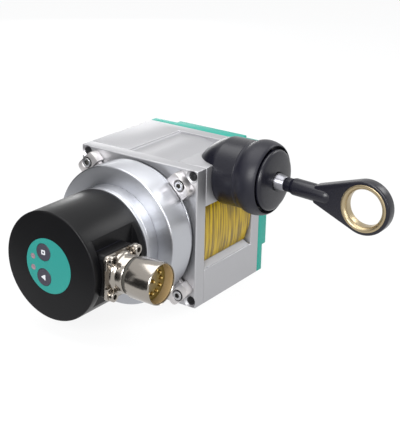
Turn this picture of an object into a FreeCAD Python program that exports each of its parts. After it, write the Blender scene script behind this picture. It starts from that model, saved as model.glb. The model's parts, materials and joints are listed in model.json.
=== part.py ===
"""Draw wire encoder: a 58 mm absolute encoder on the drum housing of a 3 m wire unit.

Frame, in millimetres: +X is the way the wire leaves, +Y runs from the encoder's end towards
the green rear cover, +Z is up. The origin is the middle of the housing's flat base, straight
under the drum's axis and in the plane of the wire.
"""
import FreeCAD, Part
import Sketcher
import math
import os
import re

SIZES = {
    "housing_depth": (62.6, "front face of the front plate to the back of the housing"),
    "plate_thickness": (8.2, "square front plate"),
    "recess_depth": (4.0, "floor of the plate's round recess behind its front face"),
    "barrel_over_wire": (6.17, "outside of the round drum barrel over the wire"),
    "barrel_cover": (1.0, "face of the square housing over the barrel"),
    "barrel_wall": (2.6, "wall of the drum barrel"),
    "window_low": (18.8, "lower edge of the side window under the drum axis"),
    "window_high": (17.5, "upper edge of the side window over the drum axis"),
    "top_window_left": (12.5, "edge of the top window left of the drum axis"),
    "window_margin": (7.9, "solid rim between a window and the back of the housing"),
    "window_depth": (14.0, "how far a window is cut in from the face"),
    "web_front": (11.0, "front of the web between drum and spring, behind the wire plane"),
    "web_thickness": (3.0, "web between the drum and the spring"),
    "spring_wall": (4.0, "wall round the power spring's room"),
    "corner_hole_inset": (3.5, "mounting hole from the housing's side"),
    "corner_hole_radius": (2.5, "tapping size of the M6 mounting holes"),
    "corner_hole_depth": (12.0, "depth of the mounting holes"),
    "clamp_width": (14.0, "corner clamp, across"),
    "clamp_gap": (1.4, "clamp block outside the flange disc"),
    "clamp_hole_gap": (0.3, "clamp block from the mounting hole"),
    "clamp_height": (5.5, "clamp block over the front plate"),
    "toe_grip": (1.3, "clamp's toe over the lip"),
    "toe_width": (11.0, "clamp's toe, across"),
    "clamp_screw_share": (0.55, "clamp screw's place across the block, from its inner edge"),
    "screw_radius": (1.95, "shank of the M4 screws"),
    "screw_hole_radius": (2.2, "clearance hole of an M4 screw"),
    "screw_head_radius": (3.5, "cap head of the M4 screws"),
    "screw_head_height": (4.0, "cap head of the M4 screws"),
    "hex_radius": (1.73, "hexagon socket across its corners, halved"),
    "hex_depth": (2.2, "depth of a hexagon socket"),
    "small_hex_radius": (1.4, "hexagon socket of the M3 screws across its corners, halved"),
    "clamp_head_height": (3.0, "cap head of the clamp screws"),
    "sink_gap": (0.6, "counterbore in the clamp block round the screw's head"),
    "head_sink": (2.5, "counterbore in the clamp block"),
    "screw_grip": (5.8, "length of thread in the housing"),
    "disc_inset": (0.3, "flange disc inside the housing's width"),
    "adapter_thickness": (15.8, "rim of the flange disc"),
    "adapter_gap": (4.1, "back of the disc rim in front of the front plate"),
    "groove_step": (3.0, "neck of the flange disc under its lip"),
    "lip_inset": (1.5, "lip that the clamps hold, inside the barrel's outside"),
    "lip_gap": (0.5, "plate's round recess round the lip"),
    "lip_thickness": (5.0, "lip that the clamps hold"),
    "adapter_wall": (6.0, "front wall of the flange disc"),
    "adapter_bore": (28.5, "room for the shaft coupling"),
    "spigot_radius": (18.0, "centring spigot of the encoder"),
    "spigot_length": (3.0, "centring spigot of the encoder"),
    "encoder_radius": (29.0, "58 mm encoder"),
    "ring_thickness": (9.4, "clamping flange of the encoder"),
    "seal_thickness": (1.0, "seal between the encoder's flange and its cover"),
    "seal_width": (2.2, "seal ring, across"),
    "seal_recess": (0.7, "seal ring under the cover's outside"),
    "cover_length": (41.4, "end face of the encoder to the front of its flange"),
    "cover_wall": (3.0, "wall of the encoder's cover"),
    "cover_chamfer": (0.7, "edge of the encoder's end face"),
    "flat_cut": (6.0, "flat under the connector, below the round cover"),
    "flat_front": (5.1, "front of the flat behind the end face"),
    "flat_length": (31.3, "flat along the encoder"),
    "flat_wall": (4.5, "cover's wall behind the flat"),
    "cover_seat": (2.2, "depth of the cover's seat on the flange"),
    "flange_screw_circle": (24.0, "screws of the encoder from its axis"),
    "label_radius": (14.6, "green key panel"),
    "label_offset": (1.0, "key panel left of the encoder's axis"),
    "label_thickness": (0.5, "green key panel"),
    "key_offset": (4.1, "keys left of the encoder's axis"),
    "key_spacing": (13.5, "distance between the two keys"),
    "key_radius": (4.6, "key"),
    "key_gap": (0.15, "gap round a key"),
    "key_thickness": (1.4, "cap of a key"),
    "key_travel": (0.5, "travel of a key"),
    "key_proud": (0.2, "key over the panel"),
    "key_stem_radius": (2.0, "stem of a key"),
    "key_stem_gap": (0.1, "gap round a key's stem"),
    "lamp_offset": (11.3, "status lamps left of the encoder's axis"),
    "lamp_spacing": (6.0, "distance between the status lamps"),
    "lamp_radius": (1.5, "status lamp"),
    "board_front": (9.5, "circuit board behind the end face"),
    "board_thickness": (1.6, "circuit board"),
    "board_inset": (4.0, "circuit board inside the cover's outside"),
    "board_gap": (0.1, "circuit board in its seat"),
    "board_step": (1.0, "step that the circuit board rests on"),
    "switch_width": (6.0, "key switch"),
    "switch_height": (4.5, "key switch with its plunger"),
    "connector_place": (17.2, "connector axis behind the encoder's end face"),
    "connector_width": (26.0, "connector flange along the encoder"),
    "connector_height": (24.0, "connector flange, up and down"),
    "connector_plate": (2.4, "thickness of the connector flange"),
    "connector_corner": (3.0, "corner radius of the connector flange"),
    "gasket_thickness": (0.5, "gasket under the connector"),
    "saddle_height": (7.1, "block between the flat and the connector flange"),
    "saddle_inset": (1.2, "ends of the block inside the ends of the flange"),
    "saddle_step": (0.5, "long edges of the block inside the edges of the flange"),
    "neck_step": (0.9, "barrel of the connector inside its shell's outside"),
    "neck_length": (12.0, "barrel of the connector"),
    "neck_groove": (3.4, "narrow end of the barrel, partly in the shell"),
    "shell_radius": (10.8, "threaded shell of the connector"),
    "shell_wall": (1.8, "wall of the connector's shell"),
    "shell_length": (13.2, "threaded shell of the connector"),
    "insert_depth": (5.6, "contact insert behind the shell's mouth"),
    "contact_radius": (0.6, "contact sleeve"),
    "contact_circle": (6.2, "circle of the outer contacts"),
    "connector_screw_place": (9.4, "connector screws from the connector's axis, each way"),
    "small_screw_radius": (1.45, "shank of the M3 screws"),
    "small_head_radius": (2.7, "head of the M3 screws"),
    "small_head_height": (2.2, "head of the M3 screws"),
    "small_grip": (3.8, "thread of the connector screws in the cover"),
    "small_hole_radius": (1.65, "clearance hole of an M3 screw"),
    "shaft_radius": (5.0, "10 mm shafts"),
    "bearing_radius": (9.5, "19 mm ball bearing"),
    "bearing_width": (5.0, "19 mm ball bearing"),
    "running_clearance": (0.04, "shaft in a bearing, radial"),
    "seat_clearance": (0.02, "fixed pieces on their seats, radial"),
    "hub_radius": (13.0, "bearing hubs"),
    "encoder_hub_length": (26.0, "bearing hub of the encoder"),
    "encoder_shaft_reach": (29.0, "encoder shaft inside the cover"),
    "encoder_shaft_stub": (9.5, "encoder shaft inside the flange disc"),
    "code_disc_gap": (1.5, "code disc from the cover's inner flat"),
    "code_disc_thickness": (1.2, "code disc"),
    "code_hub_radius": (9.0, "hub of the code disc"),
    "code_hub_length": (2.6, "hub of the code disc"),
    "coupling_radius": (12.5, "shaft coupling"),
    "coupling_length": (18.0, "shaft coupling"),
    "coupling_clamp": (5.0, "clamping end of the coupling"),
    "wire_radius": (0.5, "measuring wire"),
    "measuring_radius": (31.83, "wire's centre line on the drum, 200 mm a turn"),
    "wire_turns": (15, "turns of wire on the drum"),
    "drum_gap": (1.1, "flanges of the drum inside the barrel's bore"),
    "drum_flange_thickness": (1.5, "flanges of the drum"),
    "drum_rim": (4.2, "thickness of the drum's rim"),
    "drum_hub_radius": (9.0, "hub of the drum"),
    "drum_web": (4.0, "web of the drum"),
    "drum_room": (1.5, "drum's front flange behind the front plate"),
    "wire_side_gap": (0.6, "wire from the drum's front flange"),
    "wire_rear_gap": (1.1, "wire from the drum's rear flange"),
    "bed_clearance": (0.1, "wire over the drum's rim"),
    "hub_gap": (0.4, "drum hub in front of the rear bearing"),
    "arbor_radius": (9.0, "arbor of the power spring"),
    "spring_thickness": (0.5, "strip of the power spring"),
    "spring_rear_gap": (1.7, "power spring from the rear cover"),
    "spring_gap": (0.3, "power spring from the arbor and the room's wall"),
    "spring_setback": (3.6, "power spring behind the web"),
    "rim_thickness": (5.0, "corners of the rear cover"),
    "rear_thickness": (8.5, "raised middle of the rear cover"),
    "rear_corner": (15.5, "lowered corners of the rear cover"),
    "rear_screw_inset": (6.0, "rear cover screws from the housing's side"),
    "base_radius": (18.5, "round base of the wire outlet"),
    "base_reach": (12.5, "outlet base in front of the housing's side"),
    "dome_length": (18.0, "length of the base's domed end"),
    "shoulder_length": (11.8, "length of the dome in front of its shoulder"),
    "shoulder_radius": (12.1, "round of the dome at its shoulder"),
    "dome_inset": (0.2, "end of the dome inside the housing's side"),
    "tip_curve": (15.0, "curve of the dome's tip"),
    "shoulder_curve": (28.0, "curve of the dome behind its shoulder"),
    "base_bore": (9.0, "room inside the outlet base"),
    "pocket_gap": (0.15, "outlet base in its pocket"),
    "barrel_gap": (0.65, "outlet base over the drum barrel"),
    "nose_step": (1.8, "widest part of the bumper over the base"),
    "nose_swell": (7.0, "widest part of the bumper in front of the base"),
    "nose_length": (13.9, "bumper in front of the base"),
    "mouth_step": (0.3, "bumper's mouth inside the base's outside"),
    "front_step": (1.1, "bumper's front edge inside its widest part"),
    "groove_depth": (4.5, "groove between bumper and cap"),
    "cap_gap": (0.9, "front cap inside the bumper's mouth"),
    "cap_reach": (2.2, "front edge of the cap in front of the bumper"),
    "cap_edge": (1.6, "rim of the cap's head"),
    "cap_neck": (1.0, "neck of the cap inside its rim"),
    "cap_dome": (0.9, "how far the cap's middle stands out"),
    "dimple_radius": (5.4, "mouth of the recess round the ferrule"),
    "dimple_floor": (5.1, "floor of the recess round the ferrule"),
    "dimple_depth": (4.4, "recess round the ferrule"),
    "bush_radius": (4.0, "wire guide bush"),
    "bush_bore": (0.9, "bore of the wire guide bush"),
    "bush_length": (8.0, "wire guide bush"),
    "wiper_radius": (8.9, "felt wiper"),
    "wiper_thickness": (5.0, "felt wiper"),
    "outlet_screw_inset": (5.9, "outlet screws inside the base's outside"),
    "screw_tip_depth": (9.5, "tips of the outlet screws behind the dome's end"),
    "wire_hole_radius": (1.3, "hole in the barrel where the wire comes through"),
    "lead_start": (9.4, "where the free wire leaves the top of the drum"),
    "end_gap": (0.4, "wire end from the bush"),
    "end_droop": (2.7, "angle at which the wire end hangs"),
    "ferrule_radius": (4.7, "crimped ferrule"),
    "ferrule_length": (9.0, "crimped ferrule"),
    "ferrule_chamfer": (0.6, "edges of the ferrule"),
    "lead_gap": (0.3, "wire in the ferrule's bore"),
    "lead_depth": (3.0, "depth of the ferrule's bore"),
    "ferrule_stem": (2.0, "stem of the ferrule in the eye end"),
    "stem_length": (9.0, "stem of the ferrule in the eye end"),
    "neck_thin": (3.8, "thin neck of the eye end"),
    "neck_end": (12.5, "end of the thin neck from the ferrule's back"),
    "sleeve_radius": (4.6, "sleeve of the eye end"),
    "sleeve_start": (14.5, "start of the sleeve from the ferrule's back"),
    "sleeve_end": (33.0, "end of the sleeve from the ferrule's back"),
    "sleeve_tip": (37.0, "rounded tip of the sleeve"),
    "web_start": (27.0, "where the eye's flat part leaves the sleeve"),
    "eye_place": (55.6, "eye centre from the ferrule's back"),
    "eye_radius": (14.2, "outside of the eye"),
    "eye_thickness": (6.6, "flat part of the eye end"),
    "ring_radius": (12.5, "outside of the eye bush"),
    "ring_bore": (9.8, "bore of the eye bush"),
    "ring_width": (7.4, "eye bush along its axis"),
    "name_thickness": (0.35, "yellow plate on the barrel"),
    "name_low": (17.4, "lower edge of the yellow plate under the axis"),
    "name_high": (15.6, "upper edge of the yellow plate over the axis"),
    "name_margin": (0.6, "yellow plate from the window's ends"),
}
DERIVED = {
    "barrel_radius": "measuring_radius + barrel_over_wire",
    "housing_width": "2 * (barrel_radius + barrel_cover)",
    "spring_room_radius": "barrel_radius - spring_wall",
    "corner_hole_offset": "housing_width / 2 - corner_hole_inset",
    "rear_screw_offset": "housing_width / 2 - rear_screw_inset",
    "adapter_radius": "housing_width / 2 - disc_inset",
    "lip_radius": "barrel_radius - lip_inset",
    "groove_radius": "lip_radius - groove_step",
    "toe_inner": "lip_radius - toe_grip",
    "clamp_inner": "adapter_radius + clamp_gap",
    "clamp_outer": "corner_hole_offset / cos(45 deg) - corner_hole_radius - clamp_hole_gap",
    "clamp_screw_place": "clamp_inner + clamp_screw_share * (clamp_outer - clamp_inner)",
    "flat_place": "encoder_radius - flat_cut",
    "inner_flat": "flat_place - flat_wall",
    "board_radius": "encoder_radius - board_inset",
    "step_radius": "board_radius - board_step",
    "code_disc_radius": "inner_flat - code_disc_gap",
    "neck_radius": "shell_radius - neck_step",
    "shell_bore": "shell_radius - shell_wall",
    "drum_flange_radius": "barrel_radius - barrel_wall - drum_gap",
    "drum_front": "plate_thickness + drum_room - housing_depth / 2",
    "winding_front": "drum_front + drum_flange_thickness + wire_side_gap + wire_radius",
    "turn_pitch": "-winding_front / (wire_turns - 1)",
    "spring_width": "housing_depth / 2 - web_front - web_thickness - spring_setback - spring_rear_gap",
    "base_full": "housing_width / 2 - dome_inset",
    "base_tip": "base_full - dome_length",
    "base_shoulder": "base_full - shoulder_length",
    "outlet_screw_place": "base_radius - outlet_screw_inset",
    "outlet_screw_tip": "base_full - screw_tip_depth",
    "base_length": "housing_width / 2 + base_reach",
    "nose_radius": "base_radius + nose_step",
    "nose_middle": "base_length + nose_swell",
    "nose_end": "base_length + nose_length",
    "nose_mouth": "base_radius - mouth_step",
    "cap_radius": "nose_mouth - cap_gap",
    "cap_end": "nose_end + cap_reach",
    "end_start": "cap_end + cap_dome - dimple_depth + end_gap",
}
TURNS = SIZES["wire_turns"][0]
OUTLET_SCREWS = (1, -1)
CORNERS = ((1, 1), (-1, 1), (-1, -1), (1, -1))
PLANES = {"XY": "XY_Plane", "XZ": "XZ_Plane", "YZ": "YZ_Plane"}

# Places along the encoder's axis, written in terms of the sizes
HALF = "(housing_width / 2)"
PLATE_FACE = "(-housing_depth / 2)"
BACK = "(housing_depth / 2)"
PLATE_BACK = f"({PLATE_FACE} + plate_thickness)"
RECESS_FLOOR = f"({PLATE_FACE} + recess_depth)"
LIP_FACE = f"({RECESS_FLOOR} - lip_thickness)"
RIM_BACK = f"({PLATE_FACE} - adapter_gap)"
DISC_FACE = f"({RIM_BACK} - adapter_thickness)"
RING_FACE = f"({DISC_FACE} - ring_thickness)"
END_FACE = f"({RING_FACE} - cover_length)"
WIRE_HEIGHT = f"({HALF} + measuring_radius)"
WINDOW_BACK = f"({BACK} - window_margin)"

doc = FreeCAD.newDocument("draw_wire_encoder")
sheet = doc.addObject("Spreadsheet::Sheet", "Sizes")
for row, (alias, (size, note)) in enumerate(SIZES.items(), start=1):
    sheet.set(f"A{row}", str(size))
    sheet.set(f"B{row}", note)
    sheet.setAlias(f"A{row}", alias)
doc.recompute()

PARTS = {}


def written_out(text, sheet_name):
    """The expression with derived lengths written out and sizes named as cells."""

    def cell(match):
        word = match.group(0)
        if word in DERIVED:
            return f"({written_out(DERIVED[word], sheet_name)})"
        return sheet_name + word if word in SIZES else word

    return re.sub(r"[a-z_]+", cell, text)


def sized(text):
    return written_out(text, "Sizes.")


def number(text):
    """The value of an expression now."""
    value = sheet.evalExpression(written_out(text, ""))
    return float(getattr(value, "Value", value))


def bind(thing, prop, text):
    thing.setExpression(prop, sized(text))


def new_body(name):
    body = doc.addObject("PartDesign::Body", name)
    body.Label = name
    return body


def put(thing, x="0", y="0", z="0"):
    """Binds the place of a piece."""
    for letter, text in zip("xyz", (x, y, z)):
        if text != "0":
            bind(thing, f".Placement.Base.{letter}", text)
    return thing


def keep(name, thing):
    """Marks a finished sub-part."""
    thing.Label = name
    PARTS[name] = thing
    return thing


def new_sketch(body, name, plane, start="0"):
    """A sketch on one of the body's origin planes, moved out along +X, +Y or +Z by start."""
    sketch = body.newObject("Sketcher::SketchObject", name)
    role = PLANES[plane]
    support = [f for f in body.Origin.OriginFeatures if f.Role == role][0]
    sketch.AttachmentSupport = [(support, "")]
    sketch.MapMode = "FlatFace"
    if start != "0":
        sign = "-1 * " if plane == "XZ" else ""
        bind(sketch, ".AttachmentOffset.Base.z", f"{sign}({start})")
    return sketch


def fix_point(sketch, geo, pos, x, y):
    """Ties a point to the two axes of the sketch."""
    for kind, text, axis in (("DistanceX", x, -2), ("DistanceY", y, -1)):
        if text == "0":
            sketch.addConstraint(Sketcher.Constraint("PointOnObject", geo, pos, axis))
        else:
            index = sketch.addConstraint(Sketcher.Constraint(kind, -1, 1, geo, pos, number(text)))
            bind(sketch, f"Constraints[{index}]", text)


def add_circle(sketch, x, y, radius):
    centre = FreeCAD.Vector(number(x), number(y), 0)
    geo = sketch.addGeometry(Part.Circle(centre, FreeCAD.Vector(0, 0, 1), number(radius)), False)
    if x == "0" and y == "0":
        sketch.addConstraint(Sketcher.Constraint("Coincident", geo, 3, -1, 1))
    else:
        fix_point(sketch, geo, 3, x, y)
    index = sketch.addConstraint(Sketcher.Constraint("Radius", geo, number(radius)))
    bind(sketch, f"Constraints[{index}]", radius)


def add_loop(sketch, points):
    """A closed outline. A point is (x, y), or (x, y, radius, side) where an arc leaves it.

    side is 1 when the arc's centre lies left of the way it runs, and -1 when it lies right.
    """
    spots = [FreeCAD.Vector(number(p[0]), number(p[1]), 0) for p in points]
    ends = []
    for i, point in enumerate(points):
        a = spots[i]
        b = spots[(i + 1) % len(spots)]
        if len(point) == 2:
            geo = sketch.addGeometry(Part.LineSegment(a, b), False)
            ends.append((geo, 1, 2))
            continue
        radius = number(point[2])
        side = point[3]
        along = b - a
        rise = math.sqrt(max(radius * radius - along.Length * along.Length / 4, 0))
        left = FreeCAD.Vector(-along.y, along.x, 0)
        left.normalize()
        centre = (a + b) * 0.5 + left * (rise * side)
        angles = [math.atan2(p.y - centre.y, p.x - centre.x) for p in (a, b)]
        if side < 0:
            angles.reverse()
        circle = Part.Circle(centre, FreeCAD.Vector(0, 0, 1), radius)
        geo = sketch.addGeometry(Part.ArcOfCircle(circle, angles[0], angles[1]), False)
        ends.append((geo, 1, 2) if side > 0 else (geo, 2, 1))
        index = sketch.addConstraint(Sketcher.Constraint("Radius", geo, radius))
        bind(sketch, f"Constraints[{index}]", point[2])
    for i, (geo, first, last) in enumerate(ends):
        other, other_first, _ = ends[(i + 1) % len(ends)]
        sketch.addConstraint(Sketcher.Constraint("Coincident", geo, last, other, other_first))
        fix_point(sketch, geo, first, points[i][0], points[i][1])


def box_loop(x_low, y_low, x_high, y_high):
    return [(x_low, y_low), (x_high, y_low), (x_high, y_high), (x_low, y_high)]


def extrude(body, name, plane, start, length, loops=(), circles=(), cut=False):
    """Pads or pockets a sketch from start along +X, +Y or +Z."""
    sketch = new_sketch(body, name + "_sketch", plane, start)
    for points in loops:
        add_loop(sketch, points)
    for circle in circles:
        add_circle(sketch, *circle)
    feature = body.newObject("PartDesign::Pocket" if cut else "PartDesign::Pad", name)
    feature.Profile = sketch
    bind(feature, "Length", length)
    feature.Reversed = (plane != "XZ") if cut else (plane == "XZ")
    return feature


def turn(body, name, points, axis="V_Axis", cut=False):
    """Turns an outline in the XY plane about the body's Y axis, or its X axis for H_Axis."""
    sketch = new_sketch(body, name + "_sketch", "XY")
    add_loop(sketch, points)
    feature = body.newObject("PartDesign::Groove" if cut else "PartDesign::Revolution", name)
    feature.Profile = sketch
    feature.ReferenceAxis = (sketch, [axis])
    feature.Angle = 360
    return feature


def hexagon(x, y, radius):
    """Corner points of a hexagon socket."""
    corners = []
    for k in range(6):
        corners.append((f"{x} + {radius} * cos({60 * k} deg)", f"{y} + {radius} * sin({60 * k} deg)"))
    return corners


def group(name, members):
    """One node that holds several separate solids."""
    thing = doc.addObject("Part::Compound", name)
    thing.Links = members
    return keep(name, thing)


def boolean(kind, name, base, tool):
    thing = doc.addObject("Part::" + kind, name)
    thing.Base = base
    thing.Tool = tool
    return thing


def along_drum(name, points):
    """A turned piece on the drum's axis, its outline given as (radius, y)."""
    body = new_body(name)
    turn(body, name + "_turned", points)
    return put(body, z=HALF)


def along_wire(name, points):
    """A turned piece on the wire's axis, its outline given as (x, radius)."""
    body = new_body(name)
    turn(body, name + "_turned", points, axis="H_Axis")
    return put(body, z=WIRE_HEIGHT)


def ring_outline(inner, outer, start, end):
    return box_loop(inner, start, outer, end)


# Drum housing: a square block with two windows, the round barrel showing in them
def make_housing():
    block = new_body("housing_block")
    depth = f"{BACK} - {PLATE_BACK}"
    extrude(block, "square", "XZ", PLATE_BACK, depth, [box_loop(f"-{HALF}", f"-{HALF}", HALF, HALF)])
    core = "barrel_radius - barrel_wall / 2"
    extrude(block, "core", "XZ", PLATE_BACK, depth, circles=[("0", "0", core)], cut=True)
    reach = f"{WINDOW_BACK} - {PLATE_BACK}"
    side = box_loop(f"{HALF} - window_depth", "-window_low", f"{HALF} + 1", "window_high")
    extrude(block, "side_window", "XZ", PLATE_BACK, reach, [side], cut=True)
    top = box_loop("-top_window_left", f"{HALF} - window_depth", "base_tip", f"{HALF} + 1")
    extrude(block, "top_window", "XZ", PLATE_BACK, reach, [top], cut=True)
    holes = []
    screws = []
    rears = []
    for sx, sz in CORNERS:
        holes.append((f"{sx} * corner_hole_offset", f"{sz} * corner_hole_offset", "corner_hole_radius"))
        place = "clamp_screw_place * cos(45 deg)"
        screws.append((f"{sx} * {place}", f"{sz} * {place}", "small_screw_radius + seat_clearance"))
        rears.append((f"{sx} * rear_screw_offset", f"{sz} * rear_screw_offset", "screw_radius + seat_clearance"))
    hole_depth = "corner_hole_depth - plate_thickness"
    extrude(block, "mounting_holes", "XZ", PLATE_BACK, hole_depth, circles=holes, cut=True)
    extrude(block, "clamp_threads", "XZ", PLATE_BACK, "screw_grip + 0.5", circles=screws, cut=True)
    extrude(block, "cover_threads", "XZ", f"{BACK} - screw_grip - 0.5", "screw_grip + 0.5", circles=rears, cut=True)
    put(block, z=HALF)
    pocket = along_wire("outlet_pocket", dome_points("pocket_gap") + [
        ("base_length", "base_radius + pocket_gap"),
        ("base_length", "0")])
    pierced = boolean("Cut", "pierced_block", block, pocket)
    web_back = "web_front + web_thickness"
    hub_back = "web_front + bearing_width + 0.3"
    bore = "barrel_radius - barrel_wall"
    barrel = along_drum("barrel", [
        (bore, PLATE_BACK),
        ("barrel_radius", PLATE_BACK),
        ("barrel_radius", BACK),
        ("spring_room_radius", BACK),
        ("spring_room_radius", web_back),
        ("hub_radius", web_back),
        ("hub_radius", hub_back),
        ("bearing_radius - 1.5", hub_back),
        ("bearing_radius - 1.5", f"{hub_back} - 0.3"),
        ("bearing_radius + seat_clearance", f"{hub_back} - 0.3"),
        ("bearing_radius + seat_clearance", "web_front"),
        (bore, "web_front")])
    joined = boolean("Fuse", "joined_housing", pierced, barrel)
    wire_hole = along_wire("wire_hole", box_loop("lead_start", "0", HALF, "wire_hole_radius"))
    open_barrel = boolean("Cut", "open_barrel", joined, wire_hole)
    keep("drum_housing", boolean("Cut", "drum_housing", open_barrel, outlet_screw_holes()))


def dome_points(grow="0"):
    """Domed end of the wire outlet, from its tip to its full width."""
    return [
        (f"base_tip - {grow}", "0", f"tip_curve + {grow}", -1),
        ("base_shoulder", f"shoulder_radius + {grow}", f"shoulder_curve + {grow}", -1),
        ("base_full", f"base_radius + {grow}")]


def outlet_screw_holes():
    """Threads and clearance of the two screws that hold the wire outlet."""
    holes = []
    for side in OUTLET_SCREWS:
        shank = outlet_tool("small_screw_radius + seat_clearance", "outlet_screw_tip - 0.1", "base_length", side)
        head = outlet_tool("small_head_radius + 0.2", "base_length - small_head_height - 0.4", "base_length + 1", side)
        holes += [shank, head]
    tools = doc.addObject("Part::MultiFuse", "outlet_holes")
    tools.Shapes = holes
    return tools


def outlet_screw_spot(side):
    """Place across the wire of an outlet screw, below it to either side."""
    return f"{side} * outlet_screw_place * sin(30 deg)", f"{WIRE_HEIGHT} - outlet_screw_place * cos(30 deg)"


def outlet_tool(radius, start, end, side):
    tool = doc.addObject("Part::Cylinder", "outlet_hole")
    bind(tool, "Radius", radius)
    bind(tool, "Height", f"{end} - ({start})")
    tool.Placement.Rotation = FreeCAD.Rotation(FreeCAD.Vector(0, 1, 0), 90)
    y, z = outlet_screw_spot(side)
    return put(tool, start, y, z)


def make_front_plate():
    """Square plate with a round recess for the lip of the flange disc."""
    plate = new_body("front_plate")
    square = box_loop(f"-{HALF}", f"-{HALF}", HALF, HALF)
    extrude(plate, "square", "XZ", PLATE_FACE, "plate_thickness", [square])
    recess = [("0", "0", "lip_radius + lip_gap")]
    extrude(plate, "recess", "XZ", f"{PLATE_FACE} - 1", "recess_depth + 1", circles=recess, cut=True)
    hub_back = f"{RECESS_FLOOR} + bearing_width + 0.3"
    extrude(plate, "hub", "XZ", RECESS_FLOOR, f"{hub_back} - {RECESS_FLOOR}", circles=[("0", "0", "hub_radius")])
    seat = [("0", "0", "bearing_radius + seat_clearance")]
    extrude(plate, "bearing_seat", "XZ", f"{RECESS_FLOOR} + 0.3", "bearing_width + 1", circles=seat, cut=True)
    mouth = [("0", "0", "bearing_radius - 1.5")]
    extrude(plate, "shaft_mouth", "XZ", f"{RECESS_FLOOR} - 1", "bearing_width", circles=mouth, cut=True)
    holes = []
    for sx, sz in CORNERS:
        holes.append((f"{sx} * corner_hole_offset", f"{sz} * corner_hole_offset", "corner_hole_radius"))
        place = "clamp_screw_place * cos(45 deg)"
        holes.append((f"{sx} * {place}", f"{sz} * {place}", "small_hole_radius"))
    extrude(plate, "corner_holes", "XZ", f"{PLATE_FACE} - 1", "plate_thickness + 2", circles=holes, cut=True)
    keep("front_plate", put(plate, z=HALF))


def make_cap_screw(name, length, head_radius, head_height, radius, hex_radius):
    """Cap screw along +Y with the underside of its head at the body's origin."""
    head_height = f"({head_height})"
    head_radius = f"({head_radius})"
    screw = new_body(name)
    turn(screw, name + "_turned", [
        ("0", f"-{head_height}"), (f"{head_radius} - 0.3", f"-{head_height}"),
        (head_radius, f"-{head_height} + 0.3"), (head_radius, "0"),
        (radius, "0"), (radius, length), ("0", length)])
    socket = [hexagon("0", "0", hex_radius)]
    extrude(screw, name + "_socket", "XZ", f"-{head_height} - 1", "1 + hex_depth", socket, cut=True)
    return screw


def make_clamps():
    clamps = []
    screws = []
    for index in range(4):
        angle = 45 + 90 * index
        clamp = new_body(f"corner_clamp_{index + 1}")
        top = f"({PLATE_FACE} - clamp_height)"
        block = box_loop("clamp_inner", "-clamp_width / 2", "clamp_outer", "clamp_width / 2")
        extrude(clamp, f"block_{index}", "XZ", top, "clamp_height", [block])
        toe_front = f"({RIM_BACK} + spring_gap)"
        toe = box_loop("toe_inner", "-toe_width / 2", "clamp_inner + 1", "toe_width / 2")
        extrude(clamp, f"toe_{index}", "XZ", toe_front, f"{LIP_FACE} - {toe_front}", [toe])
        hole = [("clamp_screw_place", "0", "small_hole_radius")]
        extrude(clamp, f"hole_{index}", "XZ", f"{top} - 1", "clamp_height + 2", circles=hole, cut=True)
        sink = [("clamp_screw_place", "0", "small_head_radius + sink_gap")]
        extrude(clamp, f"sink_{index}", "XZ", f"{top} - 1", "1 + head_sink", circles=sink, cut=True)
        put(clamp, z=HALF)
        clamp.Placement.Rotation = FreeCAD.Rotation(FreeCAD.Vector(0, -1, 0), angle)
        clamps.append(clamp)
        reach = "clamp_height - head_sink + plate_thickness + screw_grip"
        screw = make_cap_screw(f"clamp_screw_{index + 1}", reach, "small_head_radius", "clamp_head_height",
                               "small_screw_radius", "small_hex_radius")
        sx, sz = CORNERS[index]
        place = "clamp_screw_place * cos(45 deg)"
        put(screw, f"{sx} * {place}", f"{top} + head_sink", f"{HALF} + {sz} * {place}")
        screws.append(screw)
    group("corner_clamps", clamps)
    group("clamp_screws", screws)


def make_adapter():
    body = new_body("flange_disc")
    turn(body, "disc_turned", [
        ("spigot_radius + seat_clearance", DISC_FACE),
        ("adapter_radius - 0.8", DISC_FACE),
        ("adapter_radius", f"{DISC_FACE} + 0.8"),
        ("adapter_radius", f"{RIM_BACK} - 0.4"),
        ("adapter_radius - 0.4", RIM_BACK),
        ("groove_radius", RIM_BACK),
        ("groove_radius", LIP_FACE),
        ("lip_radius", LIP_FACE),
        ("lip_radius", RECESS_FLOOR),
        ("adapter_bore", RECESS_FLOOR),
        ("adapter_bore", f"{DISC_FACE} + adapter_wall"),
        ("spigot_radius + seat_clearance", f"{DISC_FACE} + adapter_wall")])
    holes = []
    for x, z in encoder_screw_places():
        holes.append((x, z, "screw_hole_radius"))
    extrude(body, "disc_holes", "XZ", f"{DISC_FACE} - 1", "adapter_wall + 2", circles=holes, cut=True)
    keep("flange_disc", put(body, z=HALF))
    screws = []
    for index, (x, z) in enumerate(encoder_screw_places()):
        screw = make_cap_screw(f"encoder_screw_{index + 1}", "adapter_wall + ring_thickness - 2",
                               "screw_head_radius", "screw_head_height", "screw_radius", "hex_radius")
        screw.Placement.Rotation = FreeCAD.Rotation(FreeCAD.Vector(1, 0, 0), 180)
        put(screw, x, f"{DISC_FACE} + adapter_wall", f"{HALF} + {z}")
        screws.append(screw)
    group("encoder_screws", screws)


def encoder_screw_places():
    """Three screws on a 48 mm circle, as on any 58 mm encoder with a clamping flange."""
    places = []
    for k in range(3):
        places.append((f"flange_screw_circle * cos({90 + 120 * k} deg)", f"flange_screw_circle * sin({90 + 120 * k} deg)"))
    return places


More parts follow.
